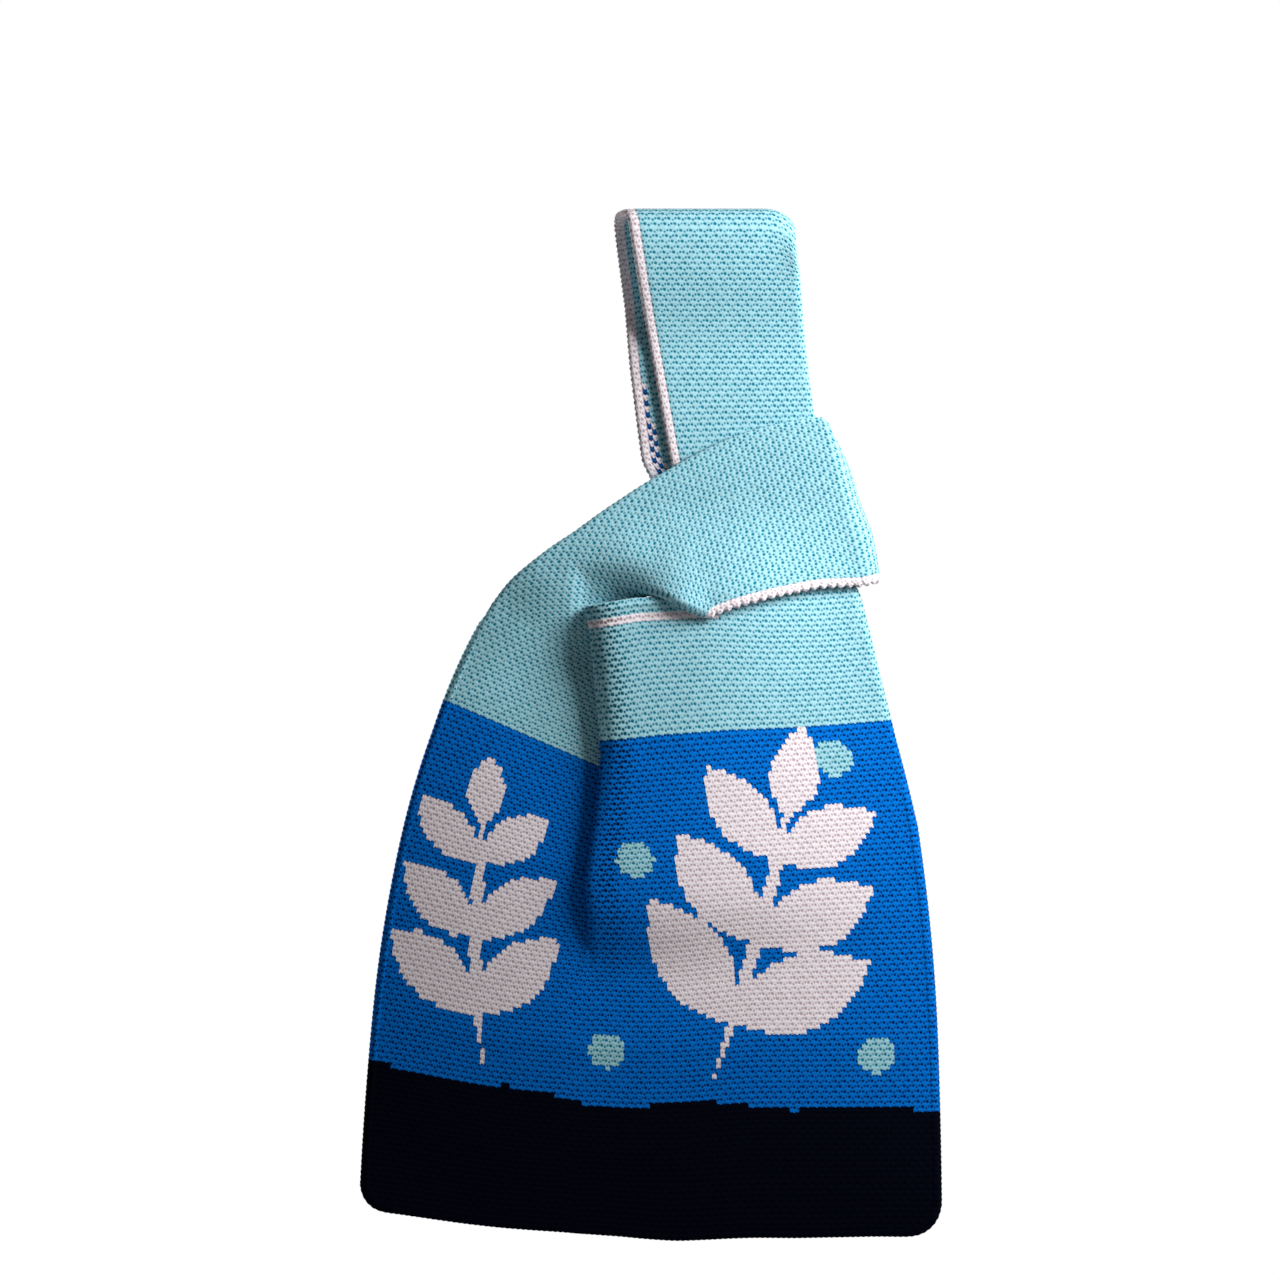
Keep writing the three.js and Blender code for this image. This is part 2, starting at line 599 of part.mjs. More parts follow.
/** The part of the short handle that goes round the long one and slides on it. */
function buildKnotWrap() {
  const front = wrapFront(legShare, 1, LEG_COLUMNS);
  const fold = wrapFold(legShare, 1, LEG_COLUMNS);
  addPiece("knot_wrap_front", sidedFabric(front.rows, front.normals, FRONT), TEAL);
  addPiece("knot_wrap_back", sidedFabric(front.rows, front.normals, BACK), TEAL);
  addPiece("knot_wrap_fold", sidedFabric(fold.rows, fold.normals, FRONT), TEAL);

  const edge = wrapFront(0, bindingShare, 1);
  const turn = wrapFold(0, bindingShare, 1);
  const ahead = fabric(edge.rows, edge.normals);
  const round = fabric(turn.rows, turn.normals);
  addPiece("knot_wrap_binding", loft([...ahead, ...round, ...sided(ahead, BACK).reverse()]), WHITE);
}

for (const [side, word] of [[FRONT, "front"], [BACK, "back"]]) {
  buildPanel(side, word);
  buildLongHandle(side, word);
  buildShortHandle(side, word);
}
buildSeams();
buildCarryLoop();
buildKnotWrap();

export default group;
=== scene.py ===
"""The looks of a knit knot bag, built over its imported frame.

Lengths are millimetres until a mesh is made. A point of the knit is named by how far across the
panel and how high above the bottom seam it lies when the bag is flat, and its stitch by the same
two numbers counted in stitches.
"""

import logging
from dataclasses import dataclass, field
from enum import Enum
from typing import Callable

import bpy
import numpy as np
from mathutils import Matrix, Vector


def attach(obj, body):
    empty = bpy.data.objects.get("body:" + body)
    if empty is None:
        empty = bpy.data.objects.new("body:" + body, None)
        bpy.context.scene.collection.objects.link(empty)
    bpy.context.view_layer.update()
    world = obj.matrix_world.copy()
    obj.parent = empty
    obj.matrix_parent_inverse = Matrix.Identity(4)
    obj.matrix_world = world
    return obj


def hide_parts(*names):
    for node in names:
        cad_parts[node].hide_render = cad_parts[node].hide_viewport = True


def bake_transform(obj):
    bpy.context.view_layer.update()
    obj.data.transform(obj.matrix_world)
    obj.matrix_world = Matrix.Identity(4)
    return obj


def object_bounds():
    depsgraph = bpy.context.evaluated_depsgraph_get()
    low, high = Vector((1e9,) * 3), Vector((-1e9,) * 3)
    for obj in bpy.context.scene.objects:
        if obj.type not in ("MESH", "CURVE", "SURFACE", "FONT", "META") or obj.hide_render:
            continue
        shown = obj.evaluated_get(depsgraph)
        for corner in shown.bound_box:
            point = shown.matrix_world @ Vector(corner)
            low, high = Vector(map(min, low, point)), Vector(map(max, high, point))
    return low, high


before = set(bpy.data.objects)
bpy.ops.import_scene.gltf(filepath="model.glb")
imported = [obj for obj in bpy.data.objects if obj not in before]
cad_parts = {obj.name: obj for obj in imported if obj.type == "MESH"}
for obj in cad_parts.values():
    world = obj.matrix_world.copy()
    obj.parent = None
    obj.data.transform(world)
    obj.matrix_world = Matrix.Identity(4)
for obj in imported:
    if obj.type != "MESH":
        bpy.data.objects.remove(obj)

LOG = logging.getLogger("knot_bag")
CAD_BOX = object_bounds()
MM = 0.001
RIM_STEPS = 5
SHARP_ANGLE = np.radians(50)
TINY = 1e-9

Array = np.ndarray
Pair = tuple[float, float]
Place = tuple[float, float, float]
Hole = tuple[float, float, float, float]
Stations = tuple[Pair, ...]
Node = bpy.types.Node
Piece = bpy.types.Object
Socket = bpy.types.NodeSocket
Tree = bpy.types.NodeTree
Link = Socket | float | tuple[float, ...]


class Side(Enum):
    """The two sides of the bag, with the sign of their depth along -Y."""

    FRONT = 1
    BACK = -1

    @property
    def word(self) -> str:
        """Gives the side's word in piece names."""
        return self.name.lower()


class Yarn(Enum):
    """Linear colours of the yarns, on the loops and deep between them; the deep ones are partly the yarn
    behind and partly painted shade.
    """

    TEAL = ((0.4, 0.71, 0.79, 1.0), (0.001, 0.19, 0.29, 1.0))
    BLUE = ((0.001, 0.19, 0.74, 1.0), (0.0005, 0.014, 0.1, 1.0))
    NAVY = ((0.0016, 0.0026, 0.009, 1.0), (0.0004, 0.0006, 0.003, 1.0))
    WHITE = ((0.95, 0.88, 0.92, 1.0), (0.54, 0.42, 0.46, 1.0))
    DEEP = ((0.006, 0.09, 0.32, 1.0), (0.001, 0.02, 0.1, 1.0))

    @property
    def face(self) -> tuple[float, ...]:
        """Gives the colour of the loops."""
        return self.value[0]

    @property
    def deep(self) -> tuple[float, ...]:
        """Gives the colour between the loops, partly the yarn behind and partly painted shade."""
        return self.value[1]

    @property
    def tint(self) -> "Tint":
        """Gives both colours."""
        return Tint(self.face, self.deep)


@dataclass(frozen=True)
class Tint:
    """A pair of colours that change together: on the loops and deep between them, where painted shade falls
    on the yarn behind.
    """

    face: Link
    deep: Link

    def over(self, graph: "Graph", share: Link, other: "Tint | Yarn") -> "Tint":
        """Lays another pair over this one, by the share in which it shows."""
        return Tint(graph.mix(share, self.face, other.face), graph.mix(share, self.deep, other.deep))


def along(stations: Stations, share: Array) -> Array:
    """Reads a value along stations, which are pairs of share and value, straight between them."""
    spots, values = np.transpose(stations)
    return np.interp(share, spots, values)


def smooth(value: Array, low: Array | float, high: Array | float) -> Array:
    """Steps from 0 at low to 1 at high, as 3 s^2 - 2 s^3 of the share s of the way."""
    share = np.clip((value - low) / (high - low), 0, 1)
    return share * share * (3 - 2 * share)


def between(low: Array, high: Array, share: Array) -> Array:
    """Mixes two values or sets of points: all low at share 0 and all high at share 1."""
    return low + (high - low) * share


def soften(grid: Array, reach: int) -> Array:
    """Smooths a grid along its rows by a bell-shaped mean, with its ends mirrored and so kept in place.

    Args:
        grid: Values by row.
        reach: How many rows the smoothing reaches each way.

    Returns:
        The smoothed grid.
    """
    weights = np.hanning(2 * reach + 3)[1:-1]
    weights = weights / weights.sum()
    head = 2 * grid[:1] - grid[reach:0:-1]
    tail = 2 * grid[-1:] - grid[-2:-reach - 2:-1]
    padded = np.concatenate([head, grid, tail])
    return sum(weight * padded[k:k + len(grid)] for k, weight in enumerate(weights))


def unit(vectors: Array) -> Array:
    """Scales vectors, which lie along the last axis, to length 1."""
    return vectors / np.maximum(np.linalg.norm(vectors, axis=-1, keepdims=True), TINY)


def lengths(points: Array) -> Array:
    """Measures how far along its line each point lies, as the sum of the steps up to it."""
    return np.cumsum(np.linalg.norm(np.diff(points, axis=0, prepend=points[:1]), axis=-1))


def on_line(at: Array, places: Array, points: Array) -> Array:
    """Finds points of a line, straight between those given at places along it."""
    return np.stack([np.interp(at, places, values) for values in points.T], axis=-1)


def at_rows(grid: Array, rows: Array) -> Array:
    """Reads a grid between its rows, straight from one row to the next.

    Args:
        grid: Values by row.
        rows: Where to read, in rows from the first.

    Returns:
        The values there.
    """
    below = np.minimum(rows.astype(int), len(grid) - 2)
    share = (rows - below).reshape(-1, *[1] * (grid.ndim - 1))
    return between(grid[below], grid[below + 1], share)


class DrapedEdge:
    """An edge of the panel: the sum of short steps, each along the sine and cosine of its lean there."""

    def __init__(self, lean_at: Callable[[Array], Array], length: float, anchor_at: float,
                 anchor: Array) -> None:
        """Lays the edge out and moves it to its anchor.

        Args:
            lean_at: Degrees of lean at heights along the edge.
            length: The edge's length.
            anchor_at: The height that lies on the anchor.
            anchor: That point's X and Z.
        """
        count = round(length)
        middle = (np.arange(count) + 0.5) * length / count
        lean = np.radians(lean_at(middle))
        run = np.column_stack([np.sin(lean), np.cos(lean)]) * length / count
        self.heights = np.linspace(0, length, count + 1)
        self.points = np.vstack([np.zeros(2), np.cumsum(run, axis=0)])
        self.points += anchor - self.at(np.array(anchor_at))

    def at(self, height: Array) -> Array:
        """Finds X and Z of points of the edge from their heights along it."""
        return on_line(height, self.heights, self.points)


@dataclass(frozen=True)
class Cut:
    """The knit laid flat."""

    panel_width: float = 196.0
    mouth_height: float = 224.0
    handle_width: float = 57.0
    long_rise: float = 136.0
    short_reach: float = 128.0
    fabric: float = 2.6
    edge_width: float = 3.2
    edge_lap: float = 2.4
    edge_thinner: float = 0.1
    rim_depth: float = 7.5
    stripe_depth: float = 2.8
    left_corner: float = 8.0
    right_corner: float = 11.0
    wale: float = 1.6
    course: float = 1.86

    @property
    def half(self) -> float:
        """Half the panel's width."""
        return self.panel_width / 2

    @property
    def neck_half(self) -> float:
        """Half the mouth's width."""
        return self.half - self.handle_width

    @property
    def hem_at(self) -> float:
        """The height of the hem's lower line."""
        return self.mouth_height - self.rim_depth

    @property
    def crest_at(self) -> float:
        """The height of the long handle's crest."""
        return self.mouth_height + self.long_rise


@dataclass
class Drape:
    """How any point of the flat knit hangs: as the frame's solids do, eased where cloth is softer."""

    cut: Cut = field(default_factory=Cut)
    ply_gap: float = 0.4
    leg_gap: float = 0.7
    wrap_ease: float = 0.3
    fold_ease: float = 0.6
    belly: float = 7.6
    roundness: float = 2.4
    loop_half: float = 11.0
    grip_half: float = 5.0
    leg_spread: float = 2.2
    bottom_tilt: Stations = ((0, 8), (0.25, 4), (0.5, 1), (1, 0.5))
    left_lean: Stations = ((0, 2), (0.31, 5), (0.57, 12), (0.8, 22), (1, 36))
    short_lean: Stations = ((0, 36), (0.22, 50), (0.48, 59), (0.84, 70), (1, 84))
    right_lean: Stations = ((0, 0), (0.27, -1.5), (0.54, -7), (0.76, -10.5), (1, -13))
    long_lean: Stations = ((0, -13), (0.28, -16), (0.49, -8), (0.89, -3), (1, -3))
    left_fall: Stations = ((0, 7), (0.4, 9), (0.57, 15), (0.78, 22), (1, 34))
    right_fall: Stations = ((0, -0.8), (0.27, 0), (0.54, 2.5), (0.78, 4.5), (1, 4))
    belly_share: Stations = ((0, 0), (0.12, 0.5), (0.3, 1), (0.6, 1), (1, 0.35))
    strap_left_lean: Stations = ((0, -14), (0.35, -12), (1, -9.5))
    back_shift: Stations = ((0.15, 0), (0.38, -10), (0.6, -8.3), (0.76, -6.2), (1, -5))
    crest_right: float = 27.5
    crest_droop: float = 10.0
    droop_width: float = 15.0
    droop_height: float = 25.0
    pleat_apex: float = 84.0
    pleat_closed: float = 132.0
    pleat_edge: Stations = ((0.38, -19), (0.57, -14), (0.78, -1), (1, 4))
    pleat_tuck: Stations = ((0.38, 12), (0.57, 13), (0.78, 23), (1, 40))
    pleat_blend: float = 60.0
    flank_width: float = 6.5
    flank_rise: float = 3.4
    flank_foot: float = 0.5
    hollow_from: Pair = (-23.0, -138.0)
    hollow_to: Pair = (-80.0, -166.0)
    hollow_depth: float = 2.2
    hollow_half: float = 10.0
    roll_height: float = 1.8
    roll_half: float = 14.0
    roll_above: float = 19.0
    roll_clear: Pair = (-46.0, -127.0)
    roll_fade: float = 8.0
    roll_early: float = 2.0
    gather_in: Pair = (-0.3, 0.1)
    hollow_out: Pair = (0.6, 1.2)
    roll_out: Pair = (0.5, 1.1)
    left_ease: Stations = ((0, 3.4), (0.25, 2.8), (0.5, 2.1), (0.75, 1.7), (0.85, 2.3), (0.97, 3.2))
    right_ease: Stations = ((0, 3.7), (0.3, 3.2), (0.63, 3.2), (0.7, 2.0), (0.77, 0.7), (0.87, -0.4),
                            (0.97, -1.0))
    bottom_sag: Stations = ((-30, 1.0), (-10, 1.2), (10, 2.7), (50, 2.7), (80, 1.7))
    sag_reach: float = 30.0
    fold_step: float = 4.0
    knot_fade: float = 38.0
    cut_rise: float = 78.0
    wrap_low: float = 3.0
    wrap_high: float = 64.0
    crossing_slope: float = 12.0
    crossing_share: float = 0.65
    high_bend: Pair = (-24.0, -0.5)
    fold_droop: float = 10.5
    hinge_drop: float = 50.0
    hem_lift: Stations = ((4, 2.7), (18, 4.0), (41, 3.6), (62, 1.0), (80, 0))
    lift_from: float = 150.0

    def __post_init__(self) -> None:
        """Lays out the edges that all else hangs from."""
        cut = self.cut
        self.ply = cut.fabric + self.ply_gap
        self.flat_depth = (cut.fabric + self.leg_gap) / 2
        self.wrap_flat = self.flat_depth + self.ply + self.wrap_ease
        crest = np.array([self.crest_right, cut.fabric / 2])
        self.right_edge = DrapedEdge(self._lean(self.right_lean, self.long_lean, cut.long_rise),
                                     cut.crest_at, cut.crest_at, crest)
        self.bottom_edge = DrapedEdge(lambda at: 90 + along(self.bottom_tilt, at / cut.panel_width),
                                      cut.panel_width, cut.panel_width, self.right_edge.at(np.array(0.0)))
        self.left_edge = DrapedEdge(self._lean(self.left_lean, self.short_lean, cut.short_reach),
                                    cut.mouth_height + cut.short_reach, 0,
                                    self.bottom_edge.at(np.array(0.0)))
        mouth = np.array(cut.mouth_height)
        self.neck = self.right_edge.at(mouth) + self.right_course(mouth) * cut.handle_width
        self.strap_edge = DrapedEdge(lambda at: along(self.strap_left_lean, at / cut.long_rise),
                                     cut.long_rise, 0, self.neck)
        self.knot_end = self.left_edge.at(mouth + self.cut_rise)
        self.fold_low = self.right_edge.at(mouth + self.wrap_low) + (self.fold_ease, 0)
        self.fold_high = self.right_edge.at(mouth + self.wrap_high) + (self.fold_ease, 0)

    def _lean(self, body: Stations, handle: Stations, reach: float) -> Callable[[Array], Array]:
        """Joins the leans of a panel's edge and of the handle above it, as degrees by height."""
        mouth = self.cut.mouth_height
        return lambda at: np.where(at < mouth, along(body, at / mouth), along(handle, (at - mouth) / reach))

    def left_course(self, height: Array) -> Array:
        """Gives the run of a course from the left edge, as X and Z per millimetre of knit."""
        fall = np.radians(along(self.left_fall, height / self.cut.mouth_height))
        return np.stack([np.cos(fall), -np.sin(fall)], axis=-1)

    def right_course(self, height: Array) -> Array:
        """Gives the run of a course from the right edge, as X and Z per millimetre of knit."""
        fall = np.radians(along(self.right_fall, height / self.cut.mouth_height))
        return np.stack([-np.cos(fall), -np.sin(fall)], axis=-1)

    def left_half(self, across: Array, height: Array) -> Array:
        """Hangs points of the left half, as X and Z seen from the front."""
        return self.left_edge.at(height) + self.left_course(height) * (across + self.cut.half)[..., None]

    def right_half(self, across: Array, height: Array) -> Array:
        """Hangs points of the right half along its courses, or of the long handle between its edges.

        Args:
            across: Distances from the panel's middle.
            height: Heights.

        Returns:
            X and Z, seen from the front.
        """
        cut = self.cut
        edge = self.right_edge.at(height)
        body = edge + self.right_course(height) * (cut.half - across)[..., None]
        strap = self.strap_edge.at(height - cut.mouth_height)
        handle = between(edge, strap, ((cut.half - across) / cut.handle_width)[..., None])
        return np.where((height <= cut.mouth_height)[..., None], body, handle)

    def fade(self, height: Array) -> Array:
        """Fades what the panel does from 1 at the mouth to 0 up the handle."""
        return 1 - smooth(height, self.cut.mouth_height, self.cut.mouth_height + self.knot_fade)

    def base_depth(self, across: Array, height: Array) -> Array:
        """Gives the depth of a ply with no pleat over it: a belly as 1 - |across / half|^roundness.

        Args:
            across: Distances from the panel's middle.
            height: Heights.

        Returns:
            Distances from the bag's middle plane.
        """
        cut = self.cut
        fullness = 1 - np.abs(across / cut.half) ** self.roundness
        share = along(self.belly_share, height / cut.mouth_height)
        return self.flat_depth + self.belly * share * fullness * self.fade(height)

    def pleat(self, height: Array) -> dict[str, Array]:
        """Describes the pleat, which turns from flat at its apex to half round where it is closed.

        Args:
            height: Heights.

        Returns:
            Its outer fold, tuck, inner fold, turn in radians, and the depths of its two folds.
        """
        share = height / self.cut.mouth_height
        edge = along(self.pleat_edge, share)
        tuck = along(self.pleat_tuck, share)
        turn = np.pi * smooth(height, self.pleat_apex, self.pleat_closed)
        inner_depth = self.base_depth(edge - tuck, height)
        outer_depth = inner_depth + self.ply * (1 - np.cos(turn))
        return {"edge": edge, "tuck": tuck, "inner": edge - tuck, "turn": turn,
                "inner_depth": inner_depth, "outer_depth": outer_depth}

    def right_depth(self, across: Array, height: Array) -> Array:
        """Gives the depth of the right half, which lies over the pleat and thins up the long handle.

        Beside the pleat's outer fold its flank rises as a quarter round.

        Args:
            across: Distances from the panel's middle.
            height: Heights.

        Returns:
            Distances from the bag's middle plane.
        """
        cut = self.cut
        low = np.minimum(height, cut.mouth_height)
        pleat = self.pleat(low)
        lift = pleat["outer_depth"] - self.base_depth(pleat["edge"], low)
        start = pleat["edge"] + pleat["tuck"]
        near = 1 - smooth(across, start, cut.half)
        inside = 1 - np.clip((across - pleat["edge"]) / self.flank_width, 0, 1)
        rise = between(self.flank_foot, self.flank_rise, smooth(low, self.pleat_closed, cut.mouth_height))
        flank = rise * np.sqrt(1 - inside ** 2) * pleat["turn"] / np.pi
        return self.base_depth(across, height) + (lift + flank) * near * self.fade(height)

    def gather(self, spot: Array) -> tuple[Array, Array]:
        """Says how the knot gathers the cloth beside it, along a soft line down to the left.

        The hollow and the roll fall off as exp(-(distance / half)^2) beside their lines.

        Args:
            spot: X and Z of points.

        Returns:
            Depths of the hollow along the line, and heights of the roll of cloth above it.
        """
        start, stop = np.array(self.hollow_from), np.array(self.hollow_to)
        length = np.linalg.norm(stop - start)
        run = (stop - start) / length
        away = spot - start
        share = (away @ run) / length
        side = away @ np.array([-run[1], run[0]])
        near = smooth(share, *self.gather_in)
        hollow = np.exp(-(side / self.hollow_half) ** 2) * near * (1 - smooth(share, *self.hollow_out))
        above = (side + self.roll_above) / self.roll_half
        roll = np.exp(-above ** 2) * near * (1 - smooth(share, *self.roll_out))
        clear_x, clear_z = self.roll_clear
        beside = smooth(clear_x - spot[..., 0], 0, self.roll_fade)
        over = smooth(spot[..., 1] - clear_z, -self.roll_early, self.roll_fade)
        return self.hollow_depth * hollow, self.roll_height * roll * np.maximum(beside, over)

    def lift(self, across: Array, height: Array) -> Array:
        """Says how far along Z the knot draws the hem up."""
        rise = smooth(height, self.lift_from, self.cut.mouth_height) * self.fade(height)
        return along(self.hem_lift, across) * rise

    def sag(self, across: Array, height: Array) -> Array:
        """Says how far along -Z the bottom hangs below its seam's own line."""
        return along(self.bottom_sag, across) * (1 - smooth(height, 0, self.sag_reach))

    def _share(self, distance: Array, height: Array) -> Array:
        """Says how much a point below the pleat takes from the other half, up to one half."""
        still_open = 1 - smooth(height, self.pleat_apex, self.pleat_closed)
        return 0.5 * still_open * (1 - smooth(distance, 0, self.pleat_blend))

    def left_ply(self, across: Array, height: Array) -> Array:
        """Hangs points left of the pleat, as X and Z seen from the front."""
        share = self._share(self.pleat(height)["inner"] - across, height)[..., None]
        return between(self.left_half(across, height), self.right_half(across, height), share)

    def right_ply(self, across: Array, height: Array) -> Array:
        """Hangs points right of the pleat, as X and Z seen from the front."""
        share = self._share(across - self.pleat(height)["edge"], height)[..., None]
        return between(self.right_half(across, height), self.left_half(across, height), share)

    def wrap_depth(self, spot: Array, width: Array) -> Array:
        """Gives the depth of the short loop: as much as the long handle under it bulges, less beside it.

        Args:
            spot: X and Z of points of the loop.
            width: From 0 at its lower border to 1 at the upper.

        Returns:
            Distances from the bag's middle plane.
        """
        cut = self.cut
        mouth_right = self.right_edge.at(np.array(cut.mouth_height))
        tilt = (mouth_right[1] - self.neck[1]) / (mouth_right[0] - self.neck[0])
        height = cut.mouth_height + spot[..., 1] - self.neck[1] - (spot[..., 0] - self.neck[0]) * tilt
        right = self.right_half(np.full_like(height, cut.half), height)[..., 0]
        left = self.right_half(np.full_like(height, cut.neck_half), height)[..., 0]
        across = cut.half - cut.handle_width * (right - spot[..., 0]) / (right - left)
        bulge = self.right_depth(np.clip(across, cut.neck_half, cut.half), height) - self.flat_depth
        beside = np.clip((left - spot[..., 0]) / self.crossing_slope, 0, 1)
        return self.wrap_flat + bulge * (1 - self.crossing_share * beside * width)


def on_ply(flat: Array, depth: Array) -> Array:
    """Sets points, given as X and Z, at their depth on the front."""
    return np.stack([flat[..., 0], -depth, flat[..., 1]], axis=-1)


def grid_normals(points: Array) -> Array:
    """Finds the unit normals of a grid of points, forward on the front of the bag."""
    normal = np.cross(np.gradient(points, axis=1), np.gradient(points, axis=0))
    return unit(normal)


def ring_corners(rows: int, count: int) -> Array:
    """Lists the corners of the four-sided faces between closed rings of points.

    Args:
        rows: How many rings there are.
        count: Points round one ring.

    Returns:
        Four lists: the point, the next one round, and on the next ring the next one round and the same.
    """
    row, spot = np.meshgrid(np.arange(rows - 1), np.arange(count), indexing="ij")
    here, after = row * count + spot, row * count + (spot + 1) % count
    return np.stack([here, after, after + count, here + count]).reshape(4, -1)


@dataclass
class Knit:
    """A sheet of knit on a grid of points in the middle of its thickness.

    Rows run along the sheet and columns across it. Both long edges are rounded, and bumps along
    them follow the stitches. The fold says how far the stitches are drawn open, and rims_go_up that
    the stitches of the rounded edges are counted up the knit and not across it.
    """

    points: Array
    across: Array
    height: Array
    half: Array | float
    bump_phase: Array
    bump: float = 0.2
    fold: Array | float = 0.0
    normals: Array | None = None
    rims_go_up: bool = False

    def _rims(self, normals: Array, column: int, out_sign: int, half: Array) -> tuple[Array, Array, Array]:
        """Rounds one long edge as a half circle, which swells with |sin(pi phase)| over each stitch.

        Args:
            normals: The sheet's normals.
            column: The column of the edge.
            out_sign: 1 at the last column and -1 at the first.
            half: Half the thickness at the edge.

        Returns:
            Points by row and step, how far each lies outside the edge, and its share of the reverse.
        """
        angle = np.linspace(0, np.pi, RIM_STEPS + 2)[1:-1]
        normal = normals[:, column]
        inside = self.points[:, column - out_sign]
        out = self.points[:, column] - inside
        out = unit(out - normal * (out * normal).sum(axis=1, keepdims=True))
        reach = half + self.bump * np.abs(np.sin(np.pi * self.bump_phase))
        outward = np.sin(angle)[None, :] * reach[:, None]
        lift = np.cos(angle)[None, :] * half[:, None]
        rim = self.points[:, column, None] + normal[:, None] * lift[..., None]
        rim = rim + out[:, None] * outward[..., None]
        reverse = np.broadcast_to((1 - np.cos(angle)) / 2, outward.shape)
        return rim, out_sign * outward, reverse

    def solid(self, name: str, side: Side, cut: Cut) -> Piece:
        """Makes the closed mesh.

        Args:
            name: The piece's name.
            side: The side of the bag; the back is the front mirrored.
            cut: The knit's sizes.

        Returns:
            The new object, at the origin.
        """
        rows, columns = self.points.shape[:2]
        normals = grid_normals(self.points) if self.normals is None else self.normals
        half = np.broadcast_to(self.half, (rows, columns))
        fold = np.broadcast_to(self.fold, (rows, columns))
        offset = normals * half[..., None]
        right, right_out, reverse = self._rims(normals, columns - 1, 1, half[:, -1])
        left, left_out, _ = self._rims(normals, 0, -1, half[:, 0])
        ring = self._ring(self.points + offset, right, self.points - offset, left)
        sideways, upward = (0, 1) if self.rims_go_up else (1, 0)
        around, up = (
            self._ring(flat, flat[:, -1:] + right_out * moves, flat, flat[:, :1] + left_out * moves)
            for flat, moves in ((self.across, sideways), (self.height, upward)))
        turned = self._ring(np.zeros((rows, columns)), reverse, np.ones((rows, columns)), reverse)
        last, first = (np.repeat(edge, RIM_STEPS, axis=1) for edge in (fold[:, -1:], fold[:, :1]))
        stitch = np.stack([(around + cut.half) / cut.wale, up / cut.course], axis=-1)
        lay = np.stack([turned, self._ring(fold, last, fold, first)], axis=-1)
        points = ring.reshape(-1, 3) * (1, side.value, 1)
        faces = self._faces(rows, columns, ring.shape[1])
        maps = {"stitch": stitch.reshape(-1, 2), "lay": lay.reshape(-1, 2)}
        return make_mesh(name, points, faces, side, maps)

    @staticmethod
    def _ring(outer: Array, right: Array, inner: Array, left: Array) -> Array:
        """Joins the outer face of each row, its right rim, its reverse and its left rim to a ring."""
        return np.concatenate([outer, right, inner[:, ::-1], left[:, ::-1]], axis=1)

    @staticmethod
    def _faces(rows: int, columns: int, count: int) -> list[list[int]]:
        """Lists the faces of the closed mesh.

        Args:
            rows: Rows of points.
            columns: Columns of the grid.
            count: Points round one row.

        Returns:
            The faces' corners.
        """
        here, after, above_after, above = ring_corners(rows, count)
        sides = np.stack([here, after, above_after, above], axis=-1)
        front = np.arange(columns - 1)
        back = 2 * columns + RIM_STEPS - 1 - front
        cap = np.stack([front + 1, front, back, back - 1], axis=-1)
        last = (rows - 1) * count
        right = np.arange(columns - 1, columns + RIM_STEPS + 1)
        left = np.append(np.arange(2 * columns + RIM_STEPS - 1, count), 0)
        ends = [right[::-1].tolist(), left[::-1].tolist(), (right + last).tolist(), (left + last).tolist()]
        return sides.tolist() + cap.tolist() + (cap[:, ::-1] + last).tolist() + ends


def make_mesh(name: str, points: Array, faces: list[list[int]], side: Side,
              maps: dict[str, Array]) -> Piece:
    """Makes an object of a mesh in the frame.

    Args:
        name: The piece's name.
        points: Its points, in millimetres.
        faces: Its faces' corners.
        side: The side of the bag, which decides how the faces turn.
        maps: UV maps by name, with one pair for each point.

    Returns:
        The new object, at the origin.
    """
    mesh = bpy.data.meshes.new(name)
    turned = faces if side is Side.FRONT else [face[::-1] for face in faces]
    mesh.from_pydata((points * MM).tolist(), [], turned)
    corner = np.empty(len(mesh.loops), dtype=np.int32)
    mesh.loops.foreach_get("vertex_index", corner)
    for key, values in maps.items():
        mesh.uv_layers.new(name=key).data.foreach_set("uv", values[corner].astype(np.float32).ravel())
    mesh.polygons.foreach_set("use_smooth", np.ones(len(mesh.polygons), dtype=bool))
    mesh.set_sharp_from_angle(angle=SHARP_ANGLE)
    mesh.update()
    piece = bpy.data.objects.new(name, mesh)
    bpy.context.scene.collection.objects.link(piece)
    return piece


